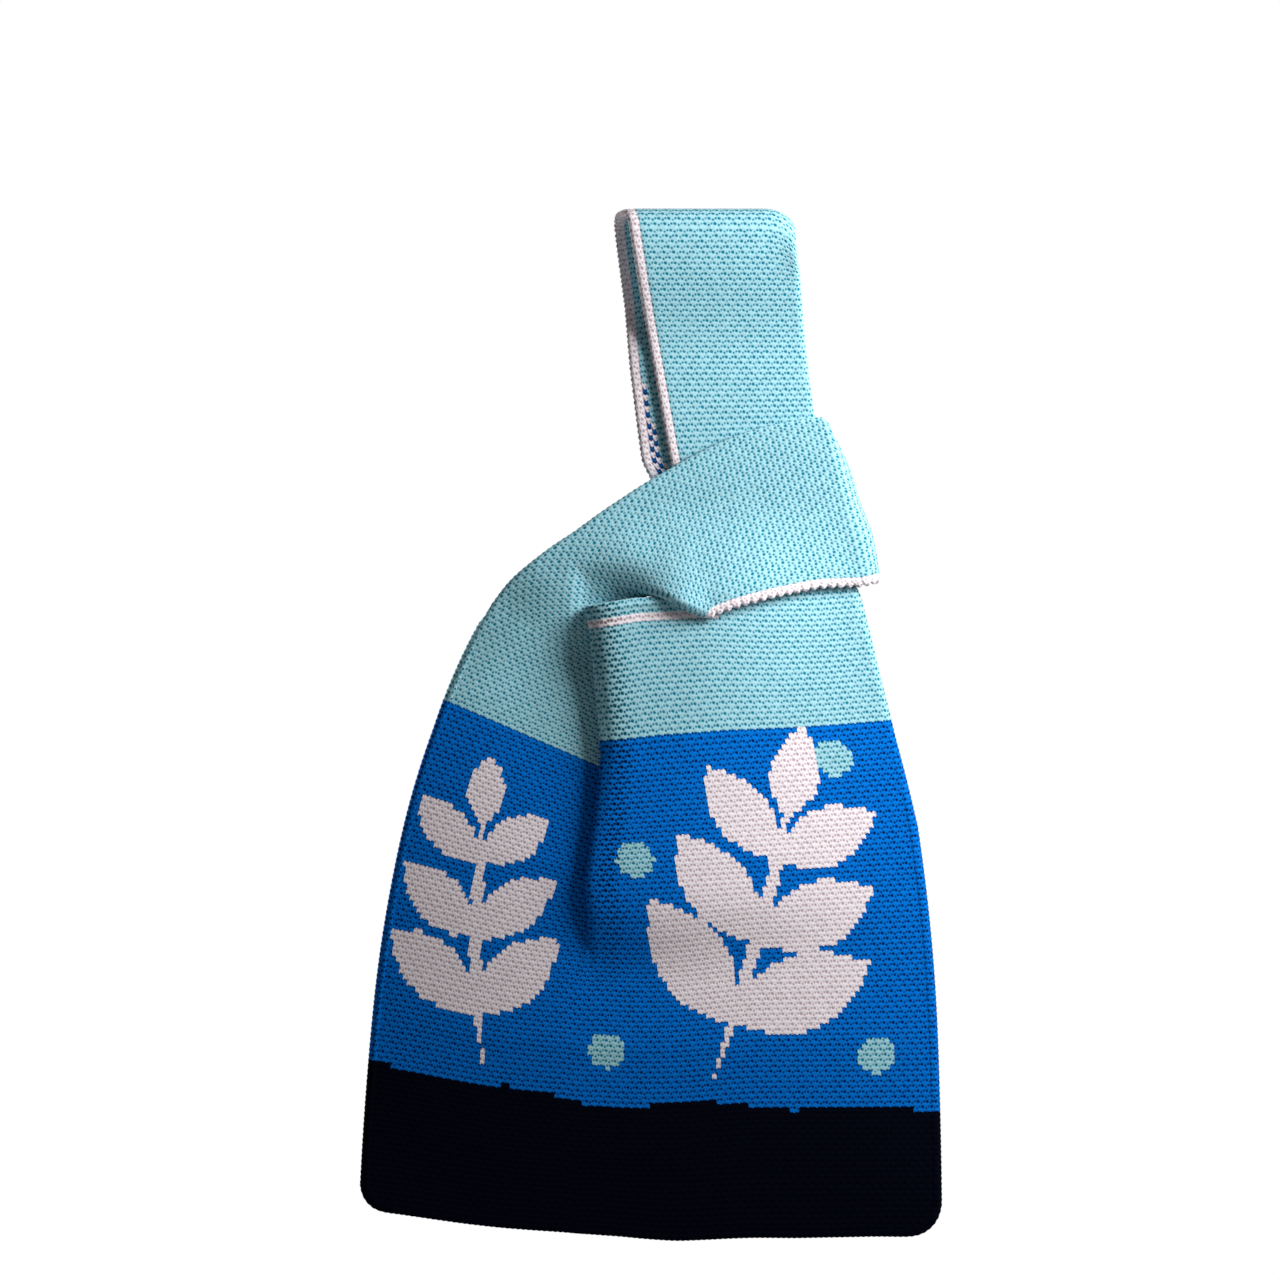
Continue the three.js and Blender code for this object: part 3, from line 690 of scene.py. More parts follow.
class Graph:
    """Adds shader nodes to a tree and joins them."""

    def __init__(self, tree: Tree) -> None:
        """Starts on the tree that gets the nodes."""
        self.tree = tree

    def node(self, kind: str, *values: Link, **settings: object) -> Node:
        """Adds a node.

        Args:
            kind: The node's type.
            values: Its first inputs, in order.
            settings: Its properties.

        Returns:
            The node.
        """
        made = self.tree.nodes.new(kind)
        for key, setting in settings.items():
            setattr(made, key, setting)
        for socket, value in zip(made.inputs, values):
            self.feed(socket, value)
        return made

    def feed(self, socket: Socket, value: Link) -> None:
        """Links a socket, or sets its value.

        Args:
            socket: The input.
            value: An output to link, or a plain value.
        """
        if isinstance(value, Socket):
            self.tree.links.new(value, socket)
        else:
            socket.default_value = value

    def fill(self, node: Node, values: dict[str, Link]) -> None:
        """Feeds a node's inputs by name."""
        for key, value in values.items():
            self.feed(node.inputs[key], value)

    def split(self, vector: Socket) -> tuple[Socket, Socket]:
        """Takes the first two numbers of a vector."""
        made = self.node("ShaderNodeSeparateXYZ", vector)
        return made.outputs["X"], made.outputs["Y"]

    def join(self, x: Link, y: Link) -> Socket:
        """Makes a vector of two numbers."""
        return self.node("ShaderNodeCombineXYZ", x, y).outputs[0]

    def grey(self, tone: Socket) -> Socket:
        """Makes a grey of a number."""
        return self.node("ShaderNodeCombineColor", tone, tone, tone).outputs[0]

    def math(self, operation: str, *values: Link, clamp: bool = False) -> Socket:
        """Adds a sum on numbers, which clamp keeps from 0 to 1."""
        return self.node("ShaderNodeMath", *values, operation=operation, use_clamp=clamp).outputs[0]

    def vector(self, operation: str, *values: Link, output: str = "Vector") -> Socket:
        """Adds a sum on vectors, whose result is the output of that name."""
        return self.node("ShaderNodeVectorMath", *values, operation=operation).outputs[output]

    def mix(self, share: Link, low: Link, high: Link, blend: str = "MIX") -> Socket:
        """Mixes two colours.

        Args:
            share: The share of the second.
            low: The first colour.
            high: The second colour.
            blend: How they mix.

        Returns:
            The mixed colour.
        """
        made = self.node("ShaderNodeMix", data_type="RGBA", blend_type=blend)
        for key, value in (("Factor_Float", share), ("A_Color", low), ("B_Color", high)):
            self.feed(next(s for s in made.inputs if s.identifier == key), value)
        return next(s for s in made.outputs if s.identifier == "Result_Color")

    def group(self, tree: Tree, **inputs: Link) -> Node:
        """Adds a shared group.

        Args:
            tree: The group.
            inputs: Its inputs by name.

        Returns:
            The group's node.
        """
        made = self.node("ShaderNodeGroup", node_tree=tree)
        self.fill(made, inputs)
        return made


def new_group(name: str, inputs: dict[str, str], outputs: dict[str, str]) -> tuple[Graph, Node, Node]:
    """Starts a shader node group.

    Args:
        name: The group's name.
        inputs: Socket types of its inputs by name.
        outputs: Socket types of its outputs by name.

    Returns:
        A graph on it, its input node and its output node.
    """
    tree = bpy.data.node_groups.new(name, "ShaderNodeTree")
    for in_out, sockets in (("INPUT", inputs), ("OUTPUT", outputs)):
        for key, kind in sockets.items():
            tree.interface.new_socket(name=key, in_out=in_out, socket_type="NodeSocket" + kind)
    graph = Graph(tree)
    return graph, graph.node("NodeGroupInput"), graph.node("NodeGroupOutput")


@dataclass(frozen=True)
class StitchRelief:
    """The knit's loops: wavy rows, with three holes of unlike strength to each pair of stitches.

    The line of a row is v + swing * cos(2 pi u), and the row's height is the cosine of its line. The
    pairs of one row start a stitch further along than those of the row below, so that the strong holes
    lie as on a draughtboard. A hole is given by its place across and up from the start of the pair,
    its strength and its size, and its depth falls off as exp(-distance^2).
    """

    swing: float = 0.1
    hole_width: float = 0.28
    hole_height: float = 0.25
    holes: tuple[Hole, ...] = ((0.0, 0.4, 1.0, 1.0), (0.74, 0.16, 0.75, 0.85), (1.34, 0.42, 0.65, 0.85))
    uneven: float = 0.6
    openness: float = 1.65
    row_rise: float = 0.14
    row_shade: float = 0.04
    hole_depth: float = 0.6
    ladder_gain: float = 0.5

    def _holes(self, graph: Graph, u: Link, v: Link, hole: Hole) -> Socket:
        """Makes one hole in each pair of stitches.

        Args:
            graph: The group's graph.
            u: Stitches across.
            v: Stitches up.
            hole: The hole's place across and up, its strength and its size.

        Returns:
            The depth of the holes.
        """
        across, up, strong, size = hole
        moved_v = graph.math("SUBTRACT", v, up)
        near_v = graph.math("ROUND", moved_v)
        moved_u = graph.math("SUBTRACT", graph.math("SUBTRACT", u, across), near_v)
        near_u = graph.math("SNAP", graph.math("ADD", moved_u, 1.0), 2.0)
        away_u = graph.math("DIVIDE", graph.math("SUBTRACT", moved_u, near_u), self.hole_width * size)
        away_v = graph.math("DIVIDE", graph.math("SUBTRACT", moved_v, near_v), self.hole_height * size)
        away = graph.math("ADD", graph.math("POWER", away_u, 2.0), graph.math("POWER", away_v, 2.0))
        spot = graph.math("EXPONENT", graph.math("MULTIPLY", away, -1.0))
        corner = graph.join(graph.math("ADD", near_u, across), near_v)
        noise = graph.node("ShaderNodeTexWhiteNoise", corner, noise_dimensions="2D")
        most = strong * self.openness
        least = (1.0 - self.uneven / 2) * most
        strength = graph.math("MULTIPLY_ADD", noise.outputs["Value"], self.uneven * most, least)
        return graph.math("MULTIPLY", spot, strength)

    def build(self) -> Tree:
        """Makes the group.

        Returns:
            A group from stitch coordinates to height, holes with the painted shade of the gaps between
            rows, the stitch's own middle and the rows' line.
        """
        graph, start, end = new_group(
            "KnitStitch", {"Stitch": "Vector", "Ladder": "Float"},
            {"Height": "Float", "Hole": "Float", "Cell": "Vector", "Line": "Float"})
        u, v = graph.split(start.outputs["Stitch"])
        wave = graph.math("COSINE", graph.math("MULTIPLY", u, 2 * np.pi))
        line = graph.math("MULTIPLY_ADD", wave, self.swing, v)
        row = graph.math("COSINE", graph.math("MULTIPLY", line, 2 * np.pi))
        deepest: Link = 0.0
        for place in self.holes:
            deepest = graph.math("MAXIMUM", deepest, self._holes(graph, u, v, place))
        gain = graph.math("MULTIPLY_ADD", start.outputs["Ladder"], self.ladder_gain, 1.0)
        hole = graph.math("MULTIPLY", deepest, gain, clamp=True)
        height = graph.math("SUBTRACT", graph.math("MULTIPLY", row, self.row_rise),
                            graph.math("MULTIPLY", hole, self.hole_depth))
        # Painted shade: the gaps between rows darken a little, added to the holes, which darken to the deep
        # colour.
        row_gap_shade = graph.math("POWER", graph.math("MULTIPLY_ADD", row, -0.5, 0.5), 2.0)
        painted_hole_shade = graph.math("MULTIPLY_ADD", row_gap_shade, self.row_shade, hole, clamp=True)
        cell = graph.join(graph.math("ADD", graph.math("FLOOR", u), 0.5), graph.math("ROUND", line))
        graph.fill(end, {"Height": height, "Hole": painted_hole_shade, "Cell": cell, "Line": line})
        return graph.tree


@dataclass(frozen=True)
class Sprig:
    """A stem with leaves in pairs, in millimetres of flat knit."""

    base: Pair
    lean: float
    pairs: int
    spacing: float
    leaf_length: float
    leaf_width: float
    spread: float = 48.0
    shrink: float = 0.86
    stem_width: float = 5.0
    stem_beyond: float = 0.6
    first_pair: float = 0.7
    tip_beyond: float = 0.2

    def leaves(self) -> list[tuple[Array, float, float, float]]:
        """Lists the stem and the leaves, each pair smaller than the one below, the last at the tip.

        Returns:
            The base, the angle off upright in degrees, the length and the width of each.
        """
        lean = np.radians(self.lean)
        base = np.array(self.base)
        step = np.array([np.sin(lean), np.cos(lean)]) * self.spacing
        stem = self.spacing * (self.pairs + self.stem_beyond)
        turns = (-self.spread, self.spread)
        places = [(k, self.first_pair, turn) for k in range(self.pairs) for turn in turns]
        found = [(base, self.lean, stem, self.stem_width)]
        for k, beyond, turn in (*places, (self.pairs, self.tip_beyond, 0.0)):
            size = self.shrink ** k
            found.append((base + step * (k + beyond), self.lean + turn, self.leaf_length * size,
                          self.leaf_width * size))
        return found


@dataclass(frozen=True)
class KnitPicture:
    """Colours of the knit by stitch: bands of yarn with leaf sprigs and berries on them.

    The navy ends at a line that falls evenly across the panel and waves about that as a sine.
    """

    cut: Cut
    teal_from: float = 180.0
    navy_to: float = 46.5
    navy_fall: float = -0.045
    navy_wave: float = 1.5
    navy_wave_length: float = 64.0
    sprigs: tuple[Sprig, ...] = ()
    berries: tuple[Place, ...] = ()

    def _leaf_group(self) -> Tree:
        """Makes the group for one leaf, whose half width is 4 run (1 - run) at a share run of its length.

        Returns:
            A group that is 1 inside a pointed leaf and 0 outside it.
        """
        inputs = {key: "Vector" for key in ("Point", "Base", "Run", "Across")}
        graph, start, end = new_group("KnitLeaf", inputs, {"Inside": "Float"})
        away = graph.vector("SUBTRACT", start.outputs["Point"], start.outputs["Base"])
        run = graph.vector("DOT_PRODUCT", away, start.outputs["Run"], output="Value")
        across = graph.vector("DOT_PRODUCT", away, start.outputs["Across"], output="Value")
        outline = graph.math("MULTIPLY", graph.math("MULTIPLY", run, 4.0), graph.math("SUBTRACT", 1.0, run))
        graph.feed(end.inputs["Inside"], graph.math("LESS_THAN", graph.math("ABSOLUTE", across), outline))
        return graph.tree

    def build(self, name: str) -> Tree:
        """Makes the group.

        Args:
            name: The group's name.

        Returns:
            A group from a stitch's middle to its yarn's colour on the loops and between them, the latter
            partly painted shade.
        """
        graph, start, end = new_group(name, {"Cell": "Vector"}, {"Color": "Color", "Deep": "Color"})
        scale = graph.vector("MULTIPLY_ADD", start.outputs["Cell"], (self.cut.wale, self.cut.course, 0),
                             (-self.cut.half, 0, 0))
        x, height = graph.split(scale)
        wave = graph.math("SINE", graph.math("MULTIPLY", x, 2 * np.pi / self.navy_wave_length))
        line = graph.math("ADD", graph.math("MULTIPLY_ADD", x, self.navy_fall, self.navy_to),
                          graph.math("MULTIPLY", wave, self.navy_wave))
        tint = Yarn.BLUE.tint.over(graph, graph.math("LESS_THAN", height, line), Yarn.NAVY)
        tint = tint.over(graph, graph.math("GREATER_THAN", height, self.teal_from), Yarn.TEAL)
        if self.sprigs:
            leaf = self._leaf_group()
            inside: Link = 0.0
            for base, lean, length, width in (found for sprig in self.sprigs for found in sprig.leaves()):
                angle = np.radians(lean)
                run = (np.sin(angle) / length, np.cos(angle) / length, 0)
                across = (2 * np.cos(angle) / width, -2 * np.sin(angle) / width, 0)
                made = graph.group(leaf, Point=scale, Base=(*base, 0), Run=run, Across=across).outputs[0]
                inside = graph.math("MAXIMUM", inside, made)
            tint = tint.over(graph, inside, Yarn.WHITE)
        for berry_x, berry_height, radius in self.berries:
            away = graph.vector("DISTANCE", scale, (berry_x, berry_height, 0), output="Value")
            tint = tint.over(graph, graph.math("LESS_THAN", away, radius), Yarn.TEAL)
        graph.fill(end, {"Color": tint.face, "Deep": tint.deep})
        return graph.tree


@dataclass(frozen=True)
class KnitFinish:
    """A matte knit: its yarn, its loops and the mottled reverse."""

    name: str
    picture: Tree | None
    stitch: Tree
    yarn: Yarn = Yarn.TEAL
    stripe: Pair | None = None
    specks_from: float | None = None
    specks_middle: float = 0.0
    specks_spread: float = 0.0
    roughness: float = 0.92
    sheen: float = 0.03
    tone: float = 0.1
    relief: float = 0.0004
    bump_strength: float = 0.45
    specular: float = 0.02
    sheen_roughness: float = 0.5
    ladder_shade: float = 0.6
    reverse_from: float = 0.55

    def build(self, cut: Cut) -> bpy.types.Material:
        """Makes the material.

        Each stitch has a tone of its own by white noise, and turns to its deep colour in its holes and row
        gaps, which is partly the yarn behind and partly painted shade; where it is drawn open, its holes
        get more painted shade.

        Args:
            cut: The knit's sizes.

        Returns:
            The material.
        """
        material = bpy.data.materials.new(self.name)
        material.use_nodes = True
        graph = Graph(material.node_tree)
        shader = graph.tree.nodes["Principled BSDF"]
        stitch_map = graph.node("ShaderNodeUVMap", uv_map="stitch").outputs["UV"]
        turned, opened = graph.split(graph.node("ShaderNodeUVMap", uv_map="lay").outputs["UV"])
        stitch = graph.group(self.stitch, Stitch=stitch_map, Ladder=opened)
        cell, hole = stitch.outputs["Cell"], stitch.outputs["Hole"]
        tint = self._face(graph, cell, stitch.outputs["Line"], cut)
        if self.specks_from is not None:
            tint = self._specks(graph, tint, cell, turned, cut)
        noise = graph.node("ShaderNodeTexWhiteNoise", cell, noise_dimensions="3D").outputs["Value"]
        tone = graph.math("MULTIPLY_ADD", noise, self.tone, 1.0 - self.tone / 2)
        face = graph.mix(1.0, tint.face, graph.grey(tone), "MULTIPLY")
        # Painted shade: the holes take the deep colour, and the holes of the ladder, where the knit is
        # drawn open, are darkened further.
        ladder = graph.math("MULTIPLY", hole, opened)
        painted_ladder_shade = graph.grey(graph.math("MULTIPLY_ADD", ladder, -self.ladder_shade, 1.0))
        colour = graph.mix(1.0, graph.mix(hole, face, tint.deep), painted_ladder_shade, "MULTIPLY")
        bump = graph.node("ShaderNodeBump")
        graph.fill(bump, {"Strength": self.bump_strength, "Distance": self.relief,
                          "Height": stitch.outputs["Height"]})
        graph.fill(shader, {"Base Color": colour, "Normal": bump.outputs["Normal"],
                            "Roughness": self.roughness, "Specular IOR Level": self.specular,
                            "Sheen Weight": self.sheen, "Sheen Roughness": self.sheen_roughness})
        return material

    def _face(self, graph: Graph, cell: Socket, line: Socket, cut: Cut) -> Tint:
        """Gives the colours of the outer face.

        Args:
            graph: The material's graph.
            cell: The stitch's middle.
            line: The line of the rows.
            cut: The knit's sizes.

        Returns:
            The colours.
        """
        if self.picture:
            picture = graph.group(self.picture, Cell=cell)
            return Tint(picture.outputs["Color"], picture.outputs["Deep"])
        plain = self.yarn.tint
        if self.stripe is None:
            return plain
        low, high = (edge / cut.course for edge in self.stripe)
        above = graph.math("GREATER_THAN", line, low)
        inside = graph.math("MULTIPLY", above, graph.math("LESS_THAN", line, high))
        return plain.over(graph, inside, Yarn.WHITE)

    def _specks(self, graph: Graph, face: Tint, cell: Socket, turned: Socket, cut: Cut) -> Tint:
        """Adds the reverse, where two yarns show by turns in a band beside the white edge.

        Args:
            graph: The material's graph.
            face: The outer face's colours.
            cell: The stitch's middle.
            turned: 0 on the outer face and 1 on the reverse.
            cut: The knit's sizes.

        Returns:
            The colours.
        """
        column, row = graph.split(cell)
        by_turns = graph.math("FLOORED_MODULO", graph.math("ADD", column, row), 2.0)
        mottle = Yarn.WHITE.tint.over(graph, graph.math("GREATER_THAN", by_turns, 0.5), Yarn.DEEP)
        drop = graph.math("ABSOLUTE", graph.math("SUBTRACT", row, self.specks_middle / cut.course))
        reach = graph.math("MULTIPLY_ADD", drop, self.specks_spread * cut.course / cut.wale,
                           (self.specks_from + cut.half) / cut.wale)
        inside = graph.math("LESS_THAN", column, reach)
        behind = graph.math("GREATER_THAN", turned, self.reverse_from)
        return face.over(graph, graph.math("MULTIPLY", inside, behind), mottle)


@dataclass
class Finishes:
    """All finishes of the bag."""

    cut: Cut
    panel_sheen: float = 0.01
    specks_above: float = 8.0

    def __post_init__(self) -> None:
        """Makes the shared groups and the materials."""
        cut = self.cut
        stitch = StitchRelief().build()
        front = KnitPicture(cut, sprigs=(
            Sprig(base=(22, 54), lean=20, pairs=3, spacing=31, leaf_length=54, leaf_width=27),
            Sprig(base=(-60, 56), lean=-9, pairs=3, spacing=27, leaf_length=42, leaf_width=21),
        ), berries=((-16, 66, 6.5), (2, 136, 6.5), (80, 62, 6.5), (76, 168, 6.5))).build("FrontPicture")
        bands = KnitPicture(cut).build("BandsPicture")
        self.front = KnitFinish("front_jacquard", front, stitch, sheen=self.panel_sheen).build(cut)
        self.back = KnitFinish("back_jacquard", bands, stitch, sheen=self.panel_sheen).build(cut)
        self.bands = KnitFinish("seam_knit", bands, stitch, sheen=self.panel_sheen).build(cut)
        self.teal = KnitFinish("teal_knit", None, stitch).build(cut)
        self.strap = KnitFinish("strap_knit", None, stitch, specks_from=38.5, specks_spread=0.12,
                                specks_middle=cut.crest_at + self.specks_above).build(cut)
        self.white = KnitFinish("white_edge", None, stitch, Yarn.WHITE).build(cut)
        stripe = (cut.hem_at, cut.hem_at + cut.stripe_depth)
        self.hem = KnitFinish("hem_knit", None, stitch, stripe=stripe).build(cut)


@dataclass
class Panels:
    """The front and back panels with the hems of the mouth."""

    drape: Drape
    left_columns: int = 52
    fold_columns: int = 7
    tuck_columns: int = 14
    right_columns: int = 74
    row_step: float = 1.1
    hem_rows: int = 9
    hem_reach: float = 1.4
    ladder_at: float = 5.0
    ladder_reach: float = 3.8
    roll: float = 0.8
    hem_bump: float = 0.25

    def grid(self, height: Array, low: Array, high: Array) -> tuple[Array, Array, Array]:
        """Lays out courses of a panel with its pleat.

        The pleat's two folds are arcs of half a ply's radius, which open out flat towards its apex.

        Args:
            height: The courses' heights.
            low: Where each starts, from the panel's middle.
            high: Where each ends.

        Returns:
            Points of the front by row and column, how far across each lies, and how near the fold.
        """
        drape = self.drape
        pleat = {key: value[:, None] for key, value in drape.pleat(height).items()}
        up = height[:, None]
        still_open = 1 - pleat["turn"] / np.pi
        share = np.linspace(0, 1, self.fold_columns)[None]
        angle = pleat["turn"] * share
        radius = drape.ply / 2
        reach = radius * np.sin(angle) + still_open * drape.fold_step * share
        arc = radius * angle + still_open * drape.fold_step * share
        rise = radius * (1 - np.cos(angle))

        left_across = between(low[:, None], pleat["inner"], np.linspace(0, 1, self.left_columns)[None, :-1])
        left_up = np.broadcast_to(up, left_across.shape)
        left_flat = drape.left_ply(left_across, left_up)
        hollow, roll = drape.gather(left_flat)
        gathered = roll - hollow * smooth(pleat["inner"] - left_across, 0, drape.hollow_half)
        left = on_ply(left_flat, drape.base_depth(left_across, left_up) + gathered)
        inner = drape.left_ply(pleat["inner"], up) + drape.left_course(up) * reach[..., None]
        turn_in = on_ply(inner, pleat["inner_depth"] + rise)
        outer = drape.right_ply(pleat["edge"], up) + drape.right_course(up) * reach[..., None]
        outer[..., 1] += drape.lift(pleat["edge"], up)
        turn_out = on_ply(outer, pleat["outer_depth"] - rise)[:, ::-1]
        inside = np.linspace(0, 1, self.tuck_columns)[None, 1:-1]
        tuck = between(turn_in[:, -1:], turn_out[:, :1], inside[..., None])
        right_share = np.linspace(0, 1, self.right_columns)[None, 1:]
        right_across = between(pleat["edge"], high[:, None], right_share)
        right_up = np.broadcast_to(up, right_across.shape)
        right = on_ply(drape.right_ply(right_across, right_up), drape.right_depth(right_across, right_up))
        right[..., 2] += drape.lift(right_across, right_up)

        arc_out = (pleat["edge"] - arc)[:, ::-1]
        arc_in = pleat["inner"] + arc
        tuck_across = between(arc_in[:, -1:], arc_out[:, :1], inside)
        across = np.concatenate([left_across, arc_in, tuck_across, arc_out, right_across], axis=1)
        points = np.concatenate([left, turn_in, tuck, turn_out, right], axis=1)
        points[..., 2] -= drape.sag(across, up)
        away = (across - pleat["edge"] - self.ladder_at) / self.ladder_reach
        near = np.exp(-away ** 2) * (1 - still_open)
        return points, across, near * (across > pleat["edge"] - radius)

    def build(self, finishes: Finishes) -> list[Piece]:
        """Makes both panels and both hems.

        Args:
            finishes: The bag's finishes.

        Returns:
            The new pieces.
        """
        drape = self.drape
        cut = drape.cut
        height = np.linspace(0, cut.hem_at, round(cut.hem_at / self.row_step))
        inset = cut.fabric / 2
        share = height / cut.mouth_height
        low = self.corner(cut.left_corner, height) - cut.half + inset - along(drape.left_ease, share)
        high = cut.half - self.corner(cut.right_corner, height) - inset + along(drape.right_ease, share)
        points, across, fold = self.grid(height, low, high)
        up = np.broadcast_to(height[:, None], across.shape)
        panel = Knit(points, across, up, cut.fabric / 2, height / cut.course, fold=fold)
        hem = self._hem()
        pieces = []
        for side, finish in ((Side.FRONT, finishes.front), (Side.BACK, finishes.back)):
            cloth = panel.solid(side.word + "_panel_knit", side, cut)
            edge = hem.solid(side.word + "_mouth_roll", side, cut)
            dress(cloth, finish, "jacquard", "bag_body", side.word + "_panel")
            dress(edge, finishes.hem, "teal_knit", "bag_body", side.word + "_mouth_hem")
            pieces += [cloth, edge]
        return pieces

    def _hem(self) -> Knit:
        """Lays out the hem, whose rows run along the mouth, so that its top edge is the rounded one.

        Returns:
            The hem's knit.
        """
        cut = self.drape.cut
        height = np.linspace(cut.hem_at, cut.mouth_height - cut.fabric / 2, self.hem_rows)
        reach = np.full_like(height, cut.neck_half)
        points, across, fold = self.grid(height, -reach, reach + self.hem_reach)
        roll = self.roll * smooth(height, cut.hem_at + cut.stripe_depth, cut.mouth_height)
        up = np.broadcast_to(height[:, None], across.shape)
        half = np.broadcast_to((cut.fabric / 2 + roll)[:, None], across.shape)
        normals = grid_normals(points).transpose(1, 0, 2)
        return Knit(points.transpose(1, 0, 2), across.T, up.T, half.T, across[0] / cut.wale,
                    bump=self.hem_bump, fold=fold.T, normals=normals, rims_go_up=True)

    @staticmethod
    def corner(radius: float, height: Array) -> Array:
        """Says how far a rounded bottom corner, a quarter circle, draws the edge in."""
        left = np.maximum(radius - height, 0)
        return radius - np.sqrt(radius ** 2 - left ** 2)


@dataclass
class LongHandle:
    """The long handle from the front hem over the crest to the back hem, with its white edge."""

    drape: Drape
    columns: int = 38
    row_step: float = 0.6
    edge_columns: int = 4
    lap: float = 0.8
    drawn_in: float = 1.6
    bend: float = 9.0
    bump: float = 0.3
    edge_bump: float = 0.45
    softness: float = 3.0

    def path(self) -> tuple[Array, Array, Array]:
        """Walks up the front leg, which spreads smoothly, round a quarter circle and half over the crest.

        Returns:
            Knit heights, the depth of the fabric's middle and its level, from the hinge on.
        """
        drape = self.drape
        cut = drape.cut
        round_radius = drape.loop_half - drape.grip_half
        top = cut.fabric / 2 - round_radius
        low = self.hinge_level
        level = np.arange(low, top, self.row_step)
        spread = drape.loop_half - drape.flat_depth
        depth = drape.flat_depth + spread * smooth(level, low, top)
        angle = np.linspace(0, np.pi / 2, round(round_radius * np.pi / 2 / self.row_step))
        flat = np.linspace(drape.grip_half, 0, round(drape.grip_half / self.row_step))[1:]
        depth = np.concatenate([depth, drape.grip_half + round_radius * np.cos(angle), flat])
        crest = np.full(len(flat), cut.fabric / 2)
        level = np.concatenate([level, top + round_radius * np.sin(angle), crest])
        walked = lengths(np.stack([depth, level], axis=-1))
        return cut.crest_at - drape.hinge_drop + walked, depth, level

    @property
    def hinge_level(self) -> float:
        """The level of the swinging fold, as Z."""
        hinge_at = self.drape.cut.crest_at - self.drape.hinge_drop
        return float(self.drape.right_edge.at(np.array(hinge_at))[1])

    def knit(self, low: float, high: float, columns: int, bump: float, row_step: float,
             thinner: float = 0.0) -> Knit:
        """Lays out the handle between two distances across it, its back leg shifted from the front one.

        Args:
            low: The inner distance from the panel's middle.
            high: The outer distance.
            columns: Columns of points.
            bump: How far the stitches stand out along its edges.
            row_step: The distance between rows.
            thinner: How much is off half the thickness.

        Returns:
            The knit.
        """
        drape = self.drape
        cut = drape.cut
        inset = cut.fabric / 2
        spread = np.linspace(low + inset, high - inset, columns)
        hinge_at = cut.crest_at - drape.hinge_drop
        leg = np.arange(cut.hem_at, hinge_at, row_step)
        across, up = np.meshgrid(spread, leg)
        flat = drape.right_half(across, up)
        level = up - cut.crest_at + cut.fabric / 2
        upright = smooth(up, cut.mouth_height + drape.knot_fade, hinge_at)
        flat[..., 1] = between(flat[..., 1], level, upright)
        lower = on_ply(flat, drape.right_depth(across, up))
        lower[..., 2] += drape.lift(across, up)

        knit_up, depth, loop_level = self.path()
        if row_step < self.row_step:
            fine = np.arange(0, len(knit_up) - 1, row_step / self.row_step)
            knit_up, depth, loop_level = (at_rows(run, fine) for run in (knit_up, depth, loop_level))
        handle_at = np.minimum(cut.crest_at + loop_level - cut.fabric / 2, cut.crest_at)
        loop_across, loop_at = np.meshgrid(spread, handle_at)
        x = drape.right_half(loop_across, loop_at)[..., 0]
        turn = (1 - depth / drape.loop_half) / 2
        crest = smooth(loop_level, -drape.loop_half, 0) * np.clip(turn, 0, 0.5)
        front = np.stack([x, np.broadcast_to(-depth[:, None], x.shape),
                          np.broadcast_to(loop_level[:, None], x.shape)], axis=-1)
        half = np.concatenate([lower, front])
        up_all = np.concatenate([up, np.broadcast_to(knit_up[:, None], x.shape)])
        share = (np.minimum(up_all, cut.crest_at) - cut.mouth_height) / cut.long_rise
        shift = along(drape.back_shift, share)
        over = np.concatenate([np.zeros(len(leg)), crest])[:, None]
        back = half[::-1] * (1, -1, 1)
        back[..., 0] += (shift * (1 - over))[::-1]
        half[..., 0] += shift * over
        total = np.concatenate([half, back[1:]])
        ahead = up_all[-1:] * 2 - up_all[::-1][1:]
        height = np.concatenate([up_all, ahead])
        across_all = np.broadcast_to(spread, height.shape)
        self._droop(total)
        points = soften(total, round(self.softness / row_step))
        half_thick = cut.fabric / 2 - thinner
        return Knit(points, across_all, height, half_thick, height[:, 0] / cut.course, bump=bump)

    def _droop(self, points: Array) -> None:
        """Lets the free right corner of the crest hang down, with the cube of how near it is.

        Args:
            points: The handle's points, which are moved.
        """
        drape = self.drape
        inside = drape.crest_right - points[..., 0]
        near = np.maximum((drape.droop_width - inside) / drape.droop_width, 0)
        points[..., 2] -= drape.crest_droop * near ** 3 * smooth(points[..., 2], -drape.droop_height, 0)

    def build(self, finishes: Finishes) -> list[Piece]:
        """Makes the handle and its edge.

        Args:
            finishes: The bag's finishes.

        Returns:
            The new pieces.
        """
        cut = self.drape.cut
        border = cut.neck_half + self.drawn_in
        seam = border + cut.edge_width
        strap = self.knit(seam - self.lap, cut.half - self.drawn_in, self.columns, self.bump, self.row_step)
        cloth = strap.solid("long_handle_knit", Side.FRONT, cut)
        edge = self.knit(border, seam + cut.edge_lap, self.edge_columns, self.edge_bump, self.row_step / 2,
                         cut.edge_thinner)
        trim = edge.solid("long_handle_white_edge", Side.FRONT, cut)
        legs = [f"{part}_{side.word}_leg" for part in ("long_handle", "carry_loop") for side in Side]
        bindings = ["long_handle_front_binding", "long_handle_back_binding", "carry_loop_binding"]
        dress(cloth, finishes.strap, "teal_knit", None, *legs, "carry_loop_crest")
        dress(trim, finishes.white, "white_edge", None, *bindings)
        for piece in (cloth, trim):
            (self.hinge_level - self.bend) * MM
            (self.hinge_level + self.bend) * MM
            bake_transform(piece)
        return [cloth, trim]


